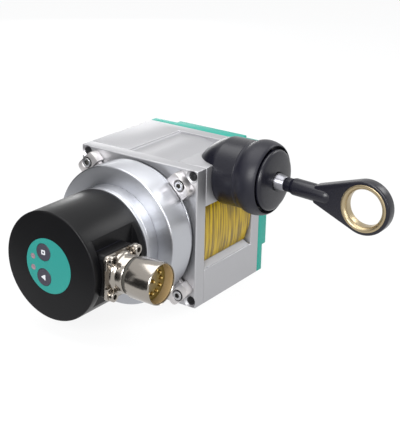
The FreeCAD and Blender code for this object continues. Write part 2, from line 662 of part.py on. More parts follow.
def bearing(name, y, z=HALF):
    """Ball bearing as one ring with the groove between its races on both faces."""
    bore = "shaft_radius + running_clearance"
    body = new_body(name)
    turn(body, name + "_turned", [
        (bore, "0"), (f"{bore} + 1.3", "0"), (f"{bore} + 1.3", "0.4"),
        ("bearing_radius - 1.2", "0.4"), ("bearing_radius - 1.2", "0"), ("bearing_radius", "0"),
        ("bearing_radius", "bearing_width"), ("bearing_radius - 1.2", "bearing_width"),
        ("bearing_radius - 1.2", "bearing_width - 0.4"), (f"{bore} + 1.3", "bearing_width - 0.4"),
        (f"{bore} + 1.3", "bearing_width"), (bore, "bearing_width")])
    return put(body, y=y, z=z)


def make_encoder():
    spigot_back = f"({DISC_FACE} + spigot_length)"
    hub_front = f"({RING_FACE} - encoder_hub_length)"
    inner = "encoder_radius - cover_wall - seat_clearance"
    seat = "bearing_radius + seat_clearance"
    flange = new_body("encoder_flange")
    turn(flange, "flange_turned", [
        (seat, hub_front),
        ("hub_radius", hub_front),
        ("hub_radius", f"{RING_FACE} - seal_thickness - cover_seat + 0.2"),
        (inner, f"{RING_FACE} - seal_thickness - cover_seat + 0.2"),
        (inner, RING_FACE),
        ("encoder_radius - 0.5", RING_FACE),
        ("encoder_radius", f"{RING_FACE} + 0.5"),
        ("encoder_radius", f"{DISC_FACE} - 0.5"),
        ("encoder_radius - 0.5", DISC_FACE),
        ("spigot_radius", DISC_FACE),
        ("spigot_radius", spigot_back),
        (seat, spigot_back),
        (seat, f"{spigot_back} - bearing_width"),
        ("bearing_radius - 1.5", f"{spigot_back} - bearing_width"),
        ("bearing_radius - 1.5", f"{hub_front} + bearing_width"),
        (seat, f"{hub_front} + bearing_width")])
    holes = []
    for x, z in encoder_screw_places():
        holes.append((x, z, "screw_radius + seat_clearance"))
    thread = "(ring_thickness - 1.5)"
    extrude(flange, "flange_threads", "XZ", f"{DISC_FACE} - {thread}", thread, circles=holes, cut=True)
    keep("encoder_flange", put(flange, z=HALF))
    bearings = [bearing("encoder_bearing_1", hub_front), bearing("encoder_bearing_2", f"{spigot_back} - bearing_width")]
    group("encoder_bearings", bearings)
    outer = "encoder_radius - seal_recess"
    seal = ring_outline(f"{outer} - seal_width", outer, f"{RING_FACE} - seal_thickness", RING_FACE)
    keep("encoder_seal", along_drum("encoder_seal", seal))
    shaft_front = f"{RING_FACE} - encoder_shaft_reach"
    shaft_end = f"{spigot_back} + encoder_shaft_stub - spigot_length"
    keep("encoder_shaft", along_drum("encoder_shaft", [
        ("0", shaft_front), ("shaft_radius - 0.4", shaft_front), ("shaft_radius", f"{shaft_front} + 0.4"),
        ("shaft_radius", f"{shaft_end} - 0.4"), ("shaft_radius - 0.4", shaft_end), ("0", shaft_end)]))
    fit = "shaft_radius + seat_clearance"
    keep("code_disc", along_drum("code_disc", [
        (fit, shaft_front), ("code_hub_radius", shaft_front),
        ("code_hub_radius", f"{shaft_front} + code_hub_length - code_disc_thickness"),
        ("code_disc_radius", f"{shaft_front} + code_hub_length - code_disc_thickness"),
        ("code_disc_radius", f"{shaft_front} + code_hub_length"),
        (fit, f"{shaft_front} + code_hub_length")]))


def key_place(side):
    return ("-key_offset", f"{side} * key_spacing / 2")


def lamp_place(side):
    return ("-lamp_offset", f"{side} * lamp_spacing / 2")


def make_cover():
    """Cover of the encoder with its connector pad and key panel recess."""
    body = new_body("encoder_cover")
    back = f"({RING_FACE} - seal_thickness)"
    turn(body, "cover_turned", [
        ("0", END_FACE), ("encoder_radius - cover_chamfer", END_FACE),
        ("encoder_radius", f"{END_FACE} + cover_chamfer"), ("encoder_radius", f"{back} - 0.4"),
        ("encoder_radius - 0.4", back), ("0", back)])
    flat = box_loop("flat_place", "-encoder_radius", "encoder_radius + 1", "encoder_radius")
    extrude(body, "flat", "XZ", f"{END_FACE} + flat_front", "flat_length", [flat], cut=True)
    seat_front = f"({back} - cover_seat)"
    board_back = f"({END_FACE} + board_front + board_thickness)"
    seat = [("0", "0", "encoder_radius - cover_wall")]
    extrude(body, "flange_seat", "XZ", seat_front, "cover_seat + 1", circles=seat, cut=True)
    rooms = {
        "room": (board_back, seat_front, "encoder_radius - cover_wall"),
        "board_seat": (f"({END_FACE} + board_front)", board_back, "board_radius + board_gap"),
        "front_room": (f"({END_FACE} + cover_wall)", f"({END_FACE} + board_front)", "step_radius")}
    for room, (start, end, radius) in rooms.items():
        extrude(body, room, "XZ", start, f"{end} - {start}", [d_outline(f"({radius})")], cut=True)
    panel = [("-label_offset", "0", "label_radius + 0.1")]
    extrude(body, "panel_recess", "XZ", f"{END_FACE} - 1", "1 + label_thickness", circles=panel, cut=True)
    wells = []
    stems = []
    for side in (1, -1):
        x, z = key_place(side)
        wells.append((x, z, "key_radius + key_gap"))
        stems.append((x, z, "key_stem_radius + key_stem_gap"))
        x, z = lamp_place(side)
        stems.append((x, z, "lamp_radius + seat_clearance"))
    well_depth = "key_thickness + key_travel + 0.1 - key_proud"
    extrude(body, "key_wells", "XZ", END_FACE, well_depth, circles=wells, cut=True)
    extrude(body, "stem_holes", "XZ", f"{END_FACE} - 1", "cover_wall + 2", circles=stems, cut=True)
    cable = [(f"{END_FACE} + connector_place", "0", "shell_bore - 2")]
    extrude(body, "cable_hole", "YZ", "inner_flat - 1", "flat_place - inner_flat + 2", circles=cable, cut=True)
    threads = []
    for sy, sz in CORNERS:
        y = f"{END_FACE} + connector_place + {sy} * connector_screw_place"
        threads.append((y, f"{sz} * connector_screw_place", "small_screw_radius + seat_clearance"))
    depth = "small_grip + 0.3"
    extrude(body, "connector_threads", "YZ", f"flat_place - ({depth})", f"{depth} + 1", circles=threads, cut=True)
    keep("encoder_cover", put(body, z=HALF))


def d_outline(radius, flat="inner_flat"):
    """Round outline with a flat on the connector's side."""
    half = f"sqrt({radius} * {radius} - ({flat}) * ({flat}))"
    return [(flat, f"-{half}"), (flat, half, radius, 1), (f"-{radius}", "0", radius, 1)]


def make_panel():
    panel = new_body("key_panel")
    holes = [("-label_offset", "0", "label_radius")]
    for side in (1, -1):
        x, z = key_place(side)
        holes.append((x, z, "key_radius + key_gap"))
        x, z = lamp_place(side)
        holes.append((x, z, "lamp_radius + seat_clearance"))
    extrude(panel, "panel_sheet", "XZ", END_FACE, "label_thickness", circles=holes)
    keep("key_panel", put(panel, z=HALF))
    lamps = []
    for side, name in ((1, "upper"), (-1, "lower")):
        x, z = key_place(side)
        key = new_body(f"{name}_key")
        cap_front = f"({END_FACE} - key_proud)"
        cap_back = f"({cap_front} + key_thickness)"
        stem_end = f"({END_FACE} + board_front - switch_height - key_travel - 0.1)"
        collar = f"({END_FACE} + cover_wall + 0.1)"
        turn(key, f"{name}_key_turned", [
            ("0", cap_front), ("key_radius - 0.3", cap_front), ("key_radius", f"{cap_front} + 0.3"),
            ("key_radius", cap_back), ("key_stem_radius", cap_back), ("key_stem_radius", collar),
            ("key_stem_radius + 0.8", collar), ("key_stem_radius + 0.8", f"{collar} + 0.6"),
            ("key_stem_radius", f"{collar} + 0.6"), ("key_stem_radius", stem_end), ("0", stem_end)])
        keep(f"{name}_key", put(key, x, z=f"{HALF} + {z}"))
        x, z = lamp_place(side)
        lamp = new_body(f"{name}_lamp")
        length = "board_front - 0.3"
        extrude(lamp, f"{name}_lamp_rod", "XZ", END_FACE, length, circles=[("0", "0", "lamp_radius")])
        lamps.append(put(lamp, x, z=f"{HALF} + {z}"))
    group("status_lamps", lamps)
    board = new_body("circuit_board")
    front = f"{END_FACE} + board_front"
    outline = d_outline("board_radius", "inner_flat - board_gap")
    extrude(board, "board_disc", "XZ", front, "board_thickness", [outline])
    keep("circuit_board", put(board, z=HALF))
    switches = []
    for side in (1, -1):
        x, z = key_place(side)
        switch = new_body(f"key_switch_{(3 - side) // 2}")
        half = "switch_width / 2"
        square = box_loop(f"-{half}", f"-{half}", half, half)
        body_height = "(switch_height - 1)"
        extrude(switch, f"switch_body_{side}", "XZ", f"{front} - {body_height}", body_height, [square])
        plunger = [("0", "0", "key_stem_radius - 0.4")]
        extrude(switch, f"plunger_{side}", "XZ", f"{front} - switch_height", "1.2", circles=plunger)
        switches.append(put(switch, x, z=f"{HALF} + {z}"))
    group("key_switches", switches)


def make_connector():
    """Round plug connector on its block, built along +X from the flat of the cover."""
    centre_y = f"{END_FACE} + connector_place"
    screws = []
    half_y = "(connector_width / 2)"
    half_z = "(connector_height / 2)"
    small = rounded_box("(connector_width / 2 - saddle_inset)", "(connector_height / 2 - saddle_step)",
                        "(connector_corner - 0.5)")
    clear = []
    for sy, sz in CORNERS:
        clear.append((f"{sy} * connector_screw_place", f"{sz} * connector_screw_place", "small_screw_radius + 0.15"))
    bore = [("0", "0", "shell_bore - 2")]
    gasket = new_body("connector_gasket")
    extrude(gasket, "gasket_sheet", "YZ", "flat_place", "gasket_thickness", [small], clear + bore)
    keep("connector_gasket", put(gasket, y=centre_y, z=HALF))
    saddle = new_body("connector_block")
    foot = "(flat_place + gasket_thickness)"
    extrude(saddle, "block_body", "YZ", foot, "saddle_height", [small], clear + bore)
    keep("connector_block", put(saddle, y=centre_y, z=HALF))
    flange = new_body("connector_flange")
    back = f"({foot} + saddle_height)"
    face = f"({back} + connector_plate)"
    extrude(flange, "flange_plate", "YZ", back, "connector_plate", [rounded_box(half_y, half_z, "connector_corner")])
    turn(flange, "flange_neck", [
        (back, "0"), (f"{face} + neck_length", "0"), (f"{face} + neck_length", "shell_bore - seat_clearance"),
        (f"{face} + neck_length - neck_groove", "shell_bore - seat_clearance"),
        (f"{face} + neck_length - neck_groove", "neck_radius"),
        (back, "neck_radius")], axis="H_Axis")
    extrude(flange, "flange_bore", "YZ", f"{back} - 1", f"connector_plate + neck_length - 2", circles=bore, cut=True)
    extrude(flange, "flange_holes", "YZ", f"{back} - 1", "connector_plate + 2", circles=clear, cut=True)
    keep("connector_flange", put(flange, y=centre_y, z=HALF))
    start = f"({face} + neck_length - 1.7)"
    end = f"({start} + shell_length)"
    shell = new_body("connector_shell")
    turn(shell, "shell_turned", [
        (start, "shell_bore"), (start, "shell_radius - 0.6"), (f"{start} + 0.6", "shell_radius"),
        (f"{end} - 1.2", "shell_radius"), (end, "shell_radius - 1"), (end, "shell_bore + 0.3"),
        (f"{end} - 0.3", "shell_bore")], axis="H_Axis")
    keep("connector_shell", put(shell, y=centre_y, z=HALF))
    insert = new_body("connector_insert")
    insert_back = f"({face} + neck_length + 0.05)"
    insert_face = f"({end} - insert_depth)"
    insert_length = f"{insert_face} - {insert_back}"
    contacts = [("0", "0", "contact_radius")] + contact_places()
    holes = [(y, z, f"{r} + seat_clearance") for y, z, r in contacts]
    extrude(insert, "insert_disc", "YZ", insert_back, insert_length,
            circles=[("0", "0", "shell_bore - seat_clearance")])
    extrude(insert, "insert_holes", "YZ", f"{insert_face} - 2", "3", circles=holes, cut=True)
    keep("connector_insert", put(insert, y=centre_y, z=HALF))
    pins = new_body("connector_contacts")
    pins.AllowCompound = True
    extrude(pins, "contact_rods", "YZ", f"{insert_face} - 1.9", "1.9", circles=contacts)
    keep("connector_contacts", put(pins, y=centre_y, z=HALF))
    for index, (sy, sz) in enumerate(CORNERS):
        length = "connector_plate + saddle_height + gasket_thickness + small_grip"
        screw = make_cap_screw(f"connector_screw_{index + 1}", length, "small_head_radius", "small_head_height",
                               "small_screw_radius", "small_hex_radius")
        screw.Placement.Rotation = FreeCAD.Rotation(FreeCAD.Vector(0, 0, 1), 90)
        put(screw, face, f"{centre_y} + {sy} * connector_screw_place", f"{HALF} + {sz} * connector_screw_place")
        screws.append(screw)
    group("connector_screws", screws)


def contact_places():
    """Eleven contacts on a circle round the middle one."""
    places = []
    for k in range(11):
        y = f"contact_circle * cos({360 * k / 11:.3f} deg)"
        z = f"contact_circle * sin({360 * k / 11:.3f} deg)"
        places.append((y, z, "contact_radius"))
    return places


def rounded_box(half_x, half_y, radius):
    """A rectangle with round corners, centred on the origin."""
    x_in = f"({half_x} - {radius})"
    y_in = f"({half_y} - {radius})"
    return [
        (f"-{x_in}", f"-{half_y}"), (x_in, f"-{half_y}", radius, 1),
        (half_x, f"-{y_in}"), (half_x, y_in, radius, 1),
        (x_in, half_y), (f"-{x_in}", half_y, radius, 1),
        (f"-{half_x}", y_in), (f"-{half_x}", f"-{y_in}", radius, 1)]


def make_drum():
    fit = "shaft_radius + seat_clearance"
    front = "drum_front"
    rim = "(measuring_radius - wire_radius - bed_clearance)"
    rear = "(wire_radius + wire_rear_gap + drum_flange_thickness)"
    inner = f"({rim} - drum_rim)"
    web = "(drum_front / 3 - drum_web / 2)"
    hub_end = "(web_front - hub_gap)"
    drum = along_drum("drum", [
        (fit, front), ("drum_hub_radius", front), ("drum_hub_radius", web), (inner, web), (inner, front),
        ("drum_flange_radius", front), ("drum_flange_radius", f"{front} + drum_flange_thickness"),
        (rim, f"{front} + drum_flange_thickness"), (rim, f"{rear} - drum_flange_thickness"),
        ("drum_flange_radius", f"{rear} - drum_flange_thickness"), ("drum_flange_radius", rear),
        (inner, rear), (inner, f"{web} + drum_web"), ("drum_hub_radius", f"{web} + drum_web"),
        ("drum_hub_radius", hub_end), (fit, hub_end)])
    keep("drum", drum)
    shaft_front = f"({RECESS_FLOOR} - 8)"
    shaft_back = f"({BACK} + 2)"
    keep("drum_shaft", along_drum("drum_shaft", [
        ("0", shaft_front), ("shaft_radius - 0.4", shaft_front), ("shaft_radius", f"{shaft_front} + 0.4"),
        ("shaft_radius", f"{shaft_back} - 0.4"), ("shaft_radius - 0.4", shaft_back), ("0", shaft_back)]))
    group("drum_bearings", [bearing("drum_bearing_1", f"{RECESS_FLOOR} + 0.3"), bearing("drum_bearing_2", "web_front")])
    keep("spring_arbor", along_drum("spring_arbor", ring_outline(
        fit, "arbor_radius", "web_front + bearing_width + 1", f"{BACK} - 0.5")))
    coupling_front = f"({RECESS_FLOOR} - 2 - coupling_length)"
    coupling_back = f"({coupling_front} + coupling_length)"
    points = [(fit, coupling_front), ("coupling_radius", coupling_front),
              ("coupling_radius", f"{coupling_front} + coupling_clamp")]
    waves = 3
    pitch = f"((coupling_length - 2 * coupling_clamp) / {waves})"
    for wave in range(waves):
        base = f"{coupling_front} + coupling_clamp + {pitch} * {wave}"
        points.append(("coupling_radius - 4", f"{base} + 0.4"))
        points.append(("coupling_radius - 4", f"{base} + {pitch} / 2 - 0.2"))
        points.append(("coupling_radius", f"{base} + {pitch} / 2 + 0.2"))
        if wave < waves - 1:
            points.append(("coupling_radius", f"{base} + {pitch}"))
    points += [("coupling_radius", coupling_back), (fit, coupling_back)]
    keep("shaft_coupling", along_drum("shaft_coupling", points))


def make_winding():
    """The turns of wire side by side on the drum, as one ring with a round ridge for each turn."""
    inner = "(measuring_radius - wire_radius)"
    points = [(inner, f"-turn_pitch * {TURNS - 1} - wire_radius")]
    for turn_index in range(TURNS - 1, -1, -1):
        y = f"-turn_pitch * {turn_index}"
        points.append(("measuring_radius", f"{y} - wire_radius", "wire_radius * 1.0001", 1))
        points.append(("measuring_radius", f"{y} + wire_radius"))
    points.append((inner, "wire_radius"))
    keep("wire_winding", along_drum("wire_winding", points))


def make_spring():
    """Power spring: a flat strip in half turns whose centres change sides, each wider than the last."""
    turns = 9
    inner = number("arbor_radius + spring_gap")
    outer = number("spring_room_radius - spring_gap - spring_thickness")
    thick = number("spring_thickness")
    step = (outer - inner) / (2 * turns)
    edges = []
    for grow in (0.0, thick):
        chain = []
        x_left = -(inner + grow)
        for half in range(2 * turns):
            radius = inner + grow + step * half
            start = x_left if half % 2 == 0 else x_right
            way = 1 if half % 2 == 0 else -1
            end = start + way * 2 * radius
            middle = FreeCAD.Vector((start + end) / 2, 0, way * radius)
            a = FreeCAD.Vector(start, 0, 0)
            b = FreeCAD.Vector(end, 0, 0)
            chain.append(Part.Arc(a, middle, b).toShape())
            if half % 2 == 0:
                x_right = end
            else:
                x_left = end
        edges.append(chain)
    first = [edge.Vertexes[0].Point for edge in (edges[0][0], edges[1][0])]
    last = [edge.Vertexes[1].Point for edge in (edges[0][-1], edges[1][-1])]
    rim = [Part.LineSegment(first[0], first[1]).toShape(), Part.LineSegment(last[0], last[1]).toShape()]
    wire = Part.Wire(Part.__sortEdges__(edges[0] + edges[1] + rim))
    strip = Part.Face(wire).extrude(FreeCAD.Vector(0, number("spring_width"), 0))
    spring = doc.addObject("Part::Feature", "power_spring")
    spring.Shape = strip
    keep("power_spring", put(spring, y="web_front + web_thickness + spring_setback", z=HALF))


def make_rear_cover():
    cover = new_body("rear_cover")
    square = box_loop(f"-{HALF}", f"-{HALF}", HALF, HALF)
    extrude(cover, "cover_plate", "XZ", BACK, "rear_thickness", [square])
    low = f"{HALF} - rear_corner"
    corners = []
    holes = []
    for sx, sz in CORNERS:
        corners.append(box_loop(f"{sx} * ({low})", f"{sz} * ({low})", f"{sx} * ({HALF} + 1)", f"{sz} * ({HALF} + 1)"))
        holes.append((f"{sx} * rear_screw_offset", f"{sz} * rear_screw_offset", "screw_hole_radius"))
    step = "rear_thickness - rim_thickness"
    extrude(cover, "cover_corners", "XZ", f"{BACK} + rim_thickness", f"{step} + 1", corners, cut=True)
    extrude(cover, "cover_holes", "XZ", f"{BACK} - 1", "rear_thickness + 2", circles=holes, cut=True)
    recess = [("0", "0", "shaft_radius + 3")]
    extrude(cover, "shaft_recess", "XZ", f"{BACK} - 1", "4", circles=recess, cut=True)
    keep("rear_cover", put(cover, z=HALF))
    screws = []
    for index, (sx, sz) in enumerate(CORNERS):
        screw = make_cap_screw(f"rear_screw_{index + 1}", "rim_thickness + screw_grip", "screw_head_radius",
                               "screw_head_height - 1", "screw_radius", "hex_radius")
        screw.Placement.Rotation = FreeCAD.Rotation(FreeCAD.Vector(1, 0, 0), 180)
        put(screw, f"{sx} * rear_screw_offset", f"{BACK} + rim_thickness", f"{HALF} + {sz} * rear_screw_offset")
        screws.append(screw)
    group("rear_screws", screws)


def make_name_plate():
    """Plain yellow plate that follows the round barrel in the side window."""
    plate = new_body("yellow_plate")
    outer = "(barrel_radius + name_thickness)"
    points = []
    for radius in ("barrel_radius", outer):
        points.append((f"sqrt({radius} * {radius} - name_low * name_low)", "-name_low"))
        points.append((f"sqrt({radius} * {radius} - name_high * name_high)", "name_high"))
    loop = [points[0], points[2] + (outer, 1), points[3], points[1] + ("barrel_radius", -1)]
    length = f"{WINDOW_BACK} - {PLATE_BACK} - 2 * name_margin"
    extrude(plate, "plate_sheet", "XZ", f"{PLATE_BACK} + name_margin", length, [loop])
    keep("yellow_plate", put(plate, z=HALF))


def make_outlet():
    """Round wire outlet on the right of the housing, over its top edge."""
    solid = along_wire("outlet_solid", dome_points() + [
        ("base_length", "base_radius"), ("base_length", "base_bore"), (f"{HALF} - 5", "base_bore"),
        (f"{HALF} - 7", "wire_hole_radius"), ("base_tip + 1", "wire_hole_radius"), ("base_tip + 1", "0")])
    barrel = doc.addObject("Part::Cylinder", "barrel_tool")
    bind(barrel, "Radius", "barrel_radius + barrel_gap")
    bind(barrel, "Height", "housing_depth")
    barrel.Placement.Rotation = FreeCAD.Rotation(FreeCAD.Vector(1, 0, 0), -90)
    put(barrel, y=f"{PLATE_FACE}", z=HALF)
    trimmed = boolean("Cut", "outlet_trimmed", solid, barrel)
    pierced = boolean("Cut", "outlet_pierced", trimmed, doc.getObject("wire_hole"))
    keep("outlet_base", boolean("Cut", "outlet_base", pierced, outlet_screw_holes()))
    nose_inner = "(nose_mouth - 0.1)"
    keep("outlet_bumper", along_wire("outlet_bumper", [
        ("base_length", nose_inner), ("base_length", "base_radius"),
        ("base_length + 1.5", "base_radius"), ("nose_middle - 3", "nose_radius - 0.5", "5", -1),
        ("nose_middle", "nose_radius", "15", -1), ("nose_end - 1.2", "nose_radius - front_step", "1.3", -1),
        ("nose_end", nose_inner)]))
    flange_end = "(nose_end - groove_depth)"
    rim_back = "(cap_end - cap_edge)"
    keep("outlet_cap", along_wire("outlet_cap", [
        ("base_length", "bush_radius + seat_clearance"), ("base_length", "nose_mouth - 0.2"),
        (flange_end, "nose_mouth - 0.2"), (flange_end, "cap_radius - cap_neck"),
        (rim_back, "cap_radius - cap_neck"), (rim_back, "cap_radius - 0.3"), (f"{rim_back} + 0.3", "cap_radius"),
        ("cap_end - 0.6", "cap_radius"),
        ("cap_end", "cap_radius - 0.6", "90", -1), ("cap_end + cap_dome", "dimple_radius"),
        ("cap_end + cap_dome - dimple_depth", "dimple_floor"),
        ("cap_end + cap_dome - dimple_depth", "bush_radius + seat_clearance")]))
    bush_front = "(cap_end + cap_dome - dimple_depth - 0.1)"
    keep("guide_bush", along_wire("guide_bush", [
        (f"{bush_front} - bush_length", "bush_bore"), (f"{bush_front} - bush_length", "bush_radius"),
        (bush_front, "bush_radius"), (bush_front, "bush_bore + 0.8"), (f"{bush_front} - 0.8", "bush_bore")]))
    keep("felt_wiper", along_wire("felt_wiper", box_loop(
        "base_length - wiper_thickness - 0.05", "bush_bore", "base_length - 0.05", "wiper_radius")))
    screws = []
    for side in OUTLET_SCREWS:
        seat = "base_length - small_head_height - 0.4"
        screw = make_cap_screw("outlet_screw", f"{seat} - outlet_screw_tip", "small_head_radius",
                               "small_head_height", "small_screw_radius", "small_hex_radius")
        screw.Placement.Rotation = FreeCAD.Rotation(FreeCAD.Vector(0, 0, 1), 90)
        y, z = outlet_screw_spot(side)
        put(screw, seat, y, z)
        screws.append(screw)
    group("outlet_screws", screws)


def hang(body):
    """Puts a piece of the wire end in its drooping frame, whose origin is the ferrule's back."""
    body.Placement.Rotation = FreeCAD.Rotation(FreeCAD.Vector(0, 1, 0), number("end_droop"))
    return put(body, "end_start", z=WIRE_HEIGHT)


def make_wire_end():
    keep("wire_lead", along_wire("wire_lead", box_loop("lead_start", "0", "end_start + lead_depth - 1", "wire_radius")))
    ferrule = new_body("wire_ferrule")
    end = "ferrule_length"
    turn(ferrule, "ferrule_turned", [
        ("0", "wire_radius + lead_gap"), ("0", "ferrule_radius - ferrule_chamfer"), ("ferrule_chamfer", "ferrule_radius"),
        (f"{end} - ferrule_chamfer", "ferrule_radius"), (end, "ferrule_radius - ferrule_chamfer"),
        (end, "ferrule_stem"), (f"{end} + stem_length", "ferrule_stem"), (f"{end} + stem_length", "0"),
        ("lead_depth", "0"), ("lead_depth", "wire_radius + lead_gap")], axis="H_Axis")
    keep("wire_ferrule", hang(ferrule))
    eye = new_body("eye_end")
    start = "(ferrule_length + 0.05)"
    turn(eye, "eye_sleeve", [
        (start, "0"), (start, "neck_thin - 0.4"), (f"{start} + 0.6", "neck_thin"), ("neck_end", "neck_thin"),
        ("sleeve_start", "sleeve_radius"), ("sleeve_end", "sleeve_radius"),
        ("sleeve_tip", "sleeve_radius / 2"), ("sleeve_tip", "0")], axis="H_Axis")
    slope = "asin((eye_radius - sleeve_radius) / (eye_place - web_start))"
    touch_x = f"(eye_place - eye_radius * sin({slope}))"
    touch_z = f"(eye_radius * cos({slope}))"
    outline = [("web_start", "-sleeve_radius"), (touch_x, f"-{touch_z}", "eye_radius", 1),
               ("eye_place + eye_radius", "0", "eye_radius", 1), (touch_x, touch_z), ("web_start", "sleeve_radius")]
    half = "(eye_thickness / 2)"
    extrude(eye, "eye_web", "XZ", f"-{half}", "eye_thickness", [outline])
    bore = [("eye_place", "0", "ring_radius + seat_clearance")]
    extrude(eye, "eye_bore", "XZ", f"-{half} - 1", "eye_thickness + 2", circles=bore, cut=True)
    socket = "ferrule_stem + seat_clearance"
    extrude(eye, "eye_socket", "YZ", "0", "ferrule_length + stem_length + 0.3", circles=[("0", "0", socket)], cut=True)
    keep("eye_end", hang(eye))
    bush = new_body("eye_bush")
    width = "(ring_width / 2)"
    turn(bush, "bush_turned", [
        ("ring_bore + 0.5", f"-{width}"), ("ring_radius - 0.3", f"-{width}"), ("ring_radius", f"-{width} + 0.3"),
        ("ring_radius", f"{width} - 0.3"), ("ring_radius - 0.3", width), ("ring_bore + 0.5", width),
        ("ring_bore", f"{width} - 0.5"), ("ring_bore", f"-{width} + 0.5")])
    put(bush, "end_start + eye_place * cos(end_droop * 1 deg)", z=f"{WIRE_HEIGHT} - eye_place * sin(end_droop * 1 deg)")
    keep("eye_bush", bush)


make_housing()
make_front_plate()
make_clamps()
make_adapter()
make_encoder()
make_cover()
make_panel()
make_connector()
make_drum()
make_winding()
make_spring()
make_rear_cover()
make_name_plate()
make_outlet()
make_wire_end()
doc.recompute()

for thing in doc.Objects:
    if "Invalid" in thing.State or "Error" in thing.State:
        raise RuntimeError(f"{thing.Name} did not build: {thing.State}")
os.makedirs("parts", exist_ok=True)
for name, thing in PARTS.items():
    shape = thing.Shape
    if shape.isNull() or not shape.isValid() or not shape.Solids:
        raise RuntimeError(f"{name} has no valid solid")
    shape.exportStep(f"parts/{name}.step")
print(len(PARTS), "sub-parts,", sum(len(p.Shape.Solids) for p in PARTS.values()), "solids")
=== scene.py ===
# %% [markdown]
# # A draw wire encoder, dressed for its picture
# The unit measures how far a wire is pulled out. The wire is wound on a drum in a square
# aluminium housing, and a round encoder in front counts the drum's turns. The solids come from
# CAD as fixed nodes. This file gives each piece that can be seen its edges and its finish, and it
# takes its main places from the boxes of those nodes, so that the two agree.
# %% The frame
import bpy
import json
import math
from mathutils import Matrix, Vector


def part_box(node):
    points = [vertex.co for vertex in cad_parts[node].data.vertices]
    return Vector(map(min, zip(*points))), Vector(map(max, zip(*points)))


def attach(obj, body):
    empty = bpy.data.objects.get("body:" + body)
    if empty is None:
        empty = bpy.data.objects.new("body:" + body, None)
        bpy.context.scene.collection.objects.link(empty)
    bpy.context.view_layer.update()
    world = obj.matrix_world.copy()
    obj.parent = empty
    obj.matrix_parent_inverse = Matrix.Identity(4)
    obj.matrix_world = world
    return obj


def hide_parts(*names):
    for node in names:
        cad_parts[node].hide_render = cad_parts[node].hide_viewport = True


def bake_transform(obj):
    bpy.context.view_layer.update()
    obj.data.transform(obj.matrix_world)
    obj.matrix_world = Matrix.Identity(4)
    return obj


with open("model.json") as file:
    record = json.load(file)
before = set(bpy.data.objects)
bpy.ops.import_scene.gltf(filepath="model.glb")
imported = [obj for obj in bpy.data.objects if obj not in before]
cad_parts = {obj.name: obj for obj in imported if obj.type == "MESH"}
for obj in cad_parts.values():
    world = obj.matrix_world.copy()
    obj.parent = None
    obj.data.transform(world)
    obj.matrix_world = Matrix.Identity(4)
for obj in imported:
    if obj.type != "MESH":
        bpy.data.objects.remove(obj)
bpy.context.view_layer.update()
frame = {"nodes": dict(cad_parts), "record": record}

MM = 0.001


def mm_box(node_name):
    """Lowest and highest corner of a CAD node in mm, to a hundredth."""
    return [[round(value / MM, 2) for value in corner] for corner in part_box(node_name)]


def span(node_name, axis):
    """Start and end of a CAD node along X (0), Y (1) or Z (2), in mm."""
    low, high = mm_box(node_name)
    return low[axis], high[axis]


def middle_of(node_name, axis):
    """The middle of a CAD node along an axis, in mm."""
    return round(sum(span(node_name, axis)) / 2, 2)


# %% [markdown]
# X is the way that the wire leaves, Y runs from the encoder back to the green cover, and Z is up.
# Four places are used all through the file: the height of the drum's axis, the wire's height,
# the encoder's end face and the connector's axis. Numbers in the outlines are in mm.
# %% Main places
HOUSING_LOW, HOUSING_HIGH = mm_box("drum_housing")
AXIS_Z = middle_of("drum_housing", 2)
WIRE_Z = middle_of("guide_bush", 2)
CONNECTOR_Y = middle_of("connector_block", 1)
END_FACE, COVER_BACK = span("encoder_cover", 1)
print("Axis", AXIS_Z, "wire", WIRE_Z, "connector", CONNECTOR_Y, "end face", END_FACE)

# %% [markdown]
# The photograph was taken with a long lens from the upper front right. The camera's place,
# turn and roll were fitted to edges of the real object, so the script only has to state them.
# The lens's centre was a little off the middle of the picture, which is what shift does.
# %% Camera
AZIMUTH, ELEVATION, ROLL = 35.087, 20.865, 1.042
CAMERA_PLACE = (0.33869, -0.46379, 0.25681)
camera_data = bpy.data.cameras.new("studio_camera")
camera_data.sensor_width = 36.0
camera_data.lens = 88.41
camera_data.shift_x = 0.0219
camera_data.shift_y = -0.0194
camera_data.clip_start = 0.01
camera = bpy.data.objects.new("studio_camera", camera_data)
bpy.context.scene.collection.objects.link(camera)
turned_by = (Matrix.Rotation(math.radians(AZIMUTH), 4, "Z")
             @ Matrix.Rotation(math.radians(90 - ELEVATION), 4, "X")
             @ Matrix.Rotation(math.radians(ROLL), 4, "Z"))
camera.matrix_world = Matrix.Translation(CAMERA_PLACE) @ turned_by
bpy.context.scene.camera = camera
print("Camera looks from", [round(v, 3) for v in camera.location])

# %% [markdown]
# Hand tools. An operator works on everything that is selected, so each tool starts by letting
# go of all objects. Sizes are given in millimetres because the real part is drawn in them.
# %% Picking things up and putting them down
def let_go():
    """Leaves edit mode and deselects every object."""
    if bpy.context.object and bpy.context.object.mode != "OBJECT":
        bpy.ops.object.mode_set(mode="OBJECT")
    bpy.ops.object.select_all(action="DESELECT")


def take(piece):
    """Makes one object the only one selected."""
    let_go()
    piece.select_set(True)
    bpy.context.view_layer.objects.active = piece
    return piece


def set_down(piece):
    """Puts an object's place into its mesh, so that the object stands at the origin."""
    take(piece)
    bpy.ops.object.transform_apply(location=True, rotation=True, scale=True)
    return piece


def named(name):
    """Names the primitive that was just added, and its mesh."""
    piece = bpy.context.object
    piece.name = name
    piece.data.name = name
    return piece


def turn(piece, degrees, about):
    """Turns a piece about an axis along Y through about, a place (x, z) in mm."""
    pivot = Vector((about[0], 0, about[1])) * MM
    piece.matrix_world = (Matrix.Translation(pivot) @ Matrix.Rotation(math.radians(degrees), 4, "Y")
                          @ Matrix.Translation(-pivot))
    return set_down(piece)


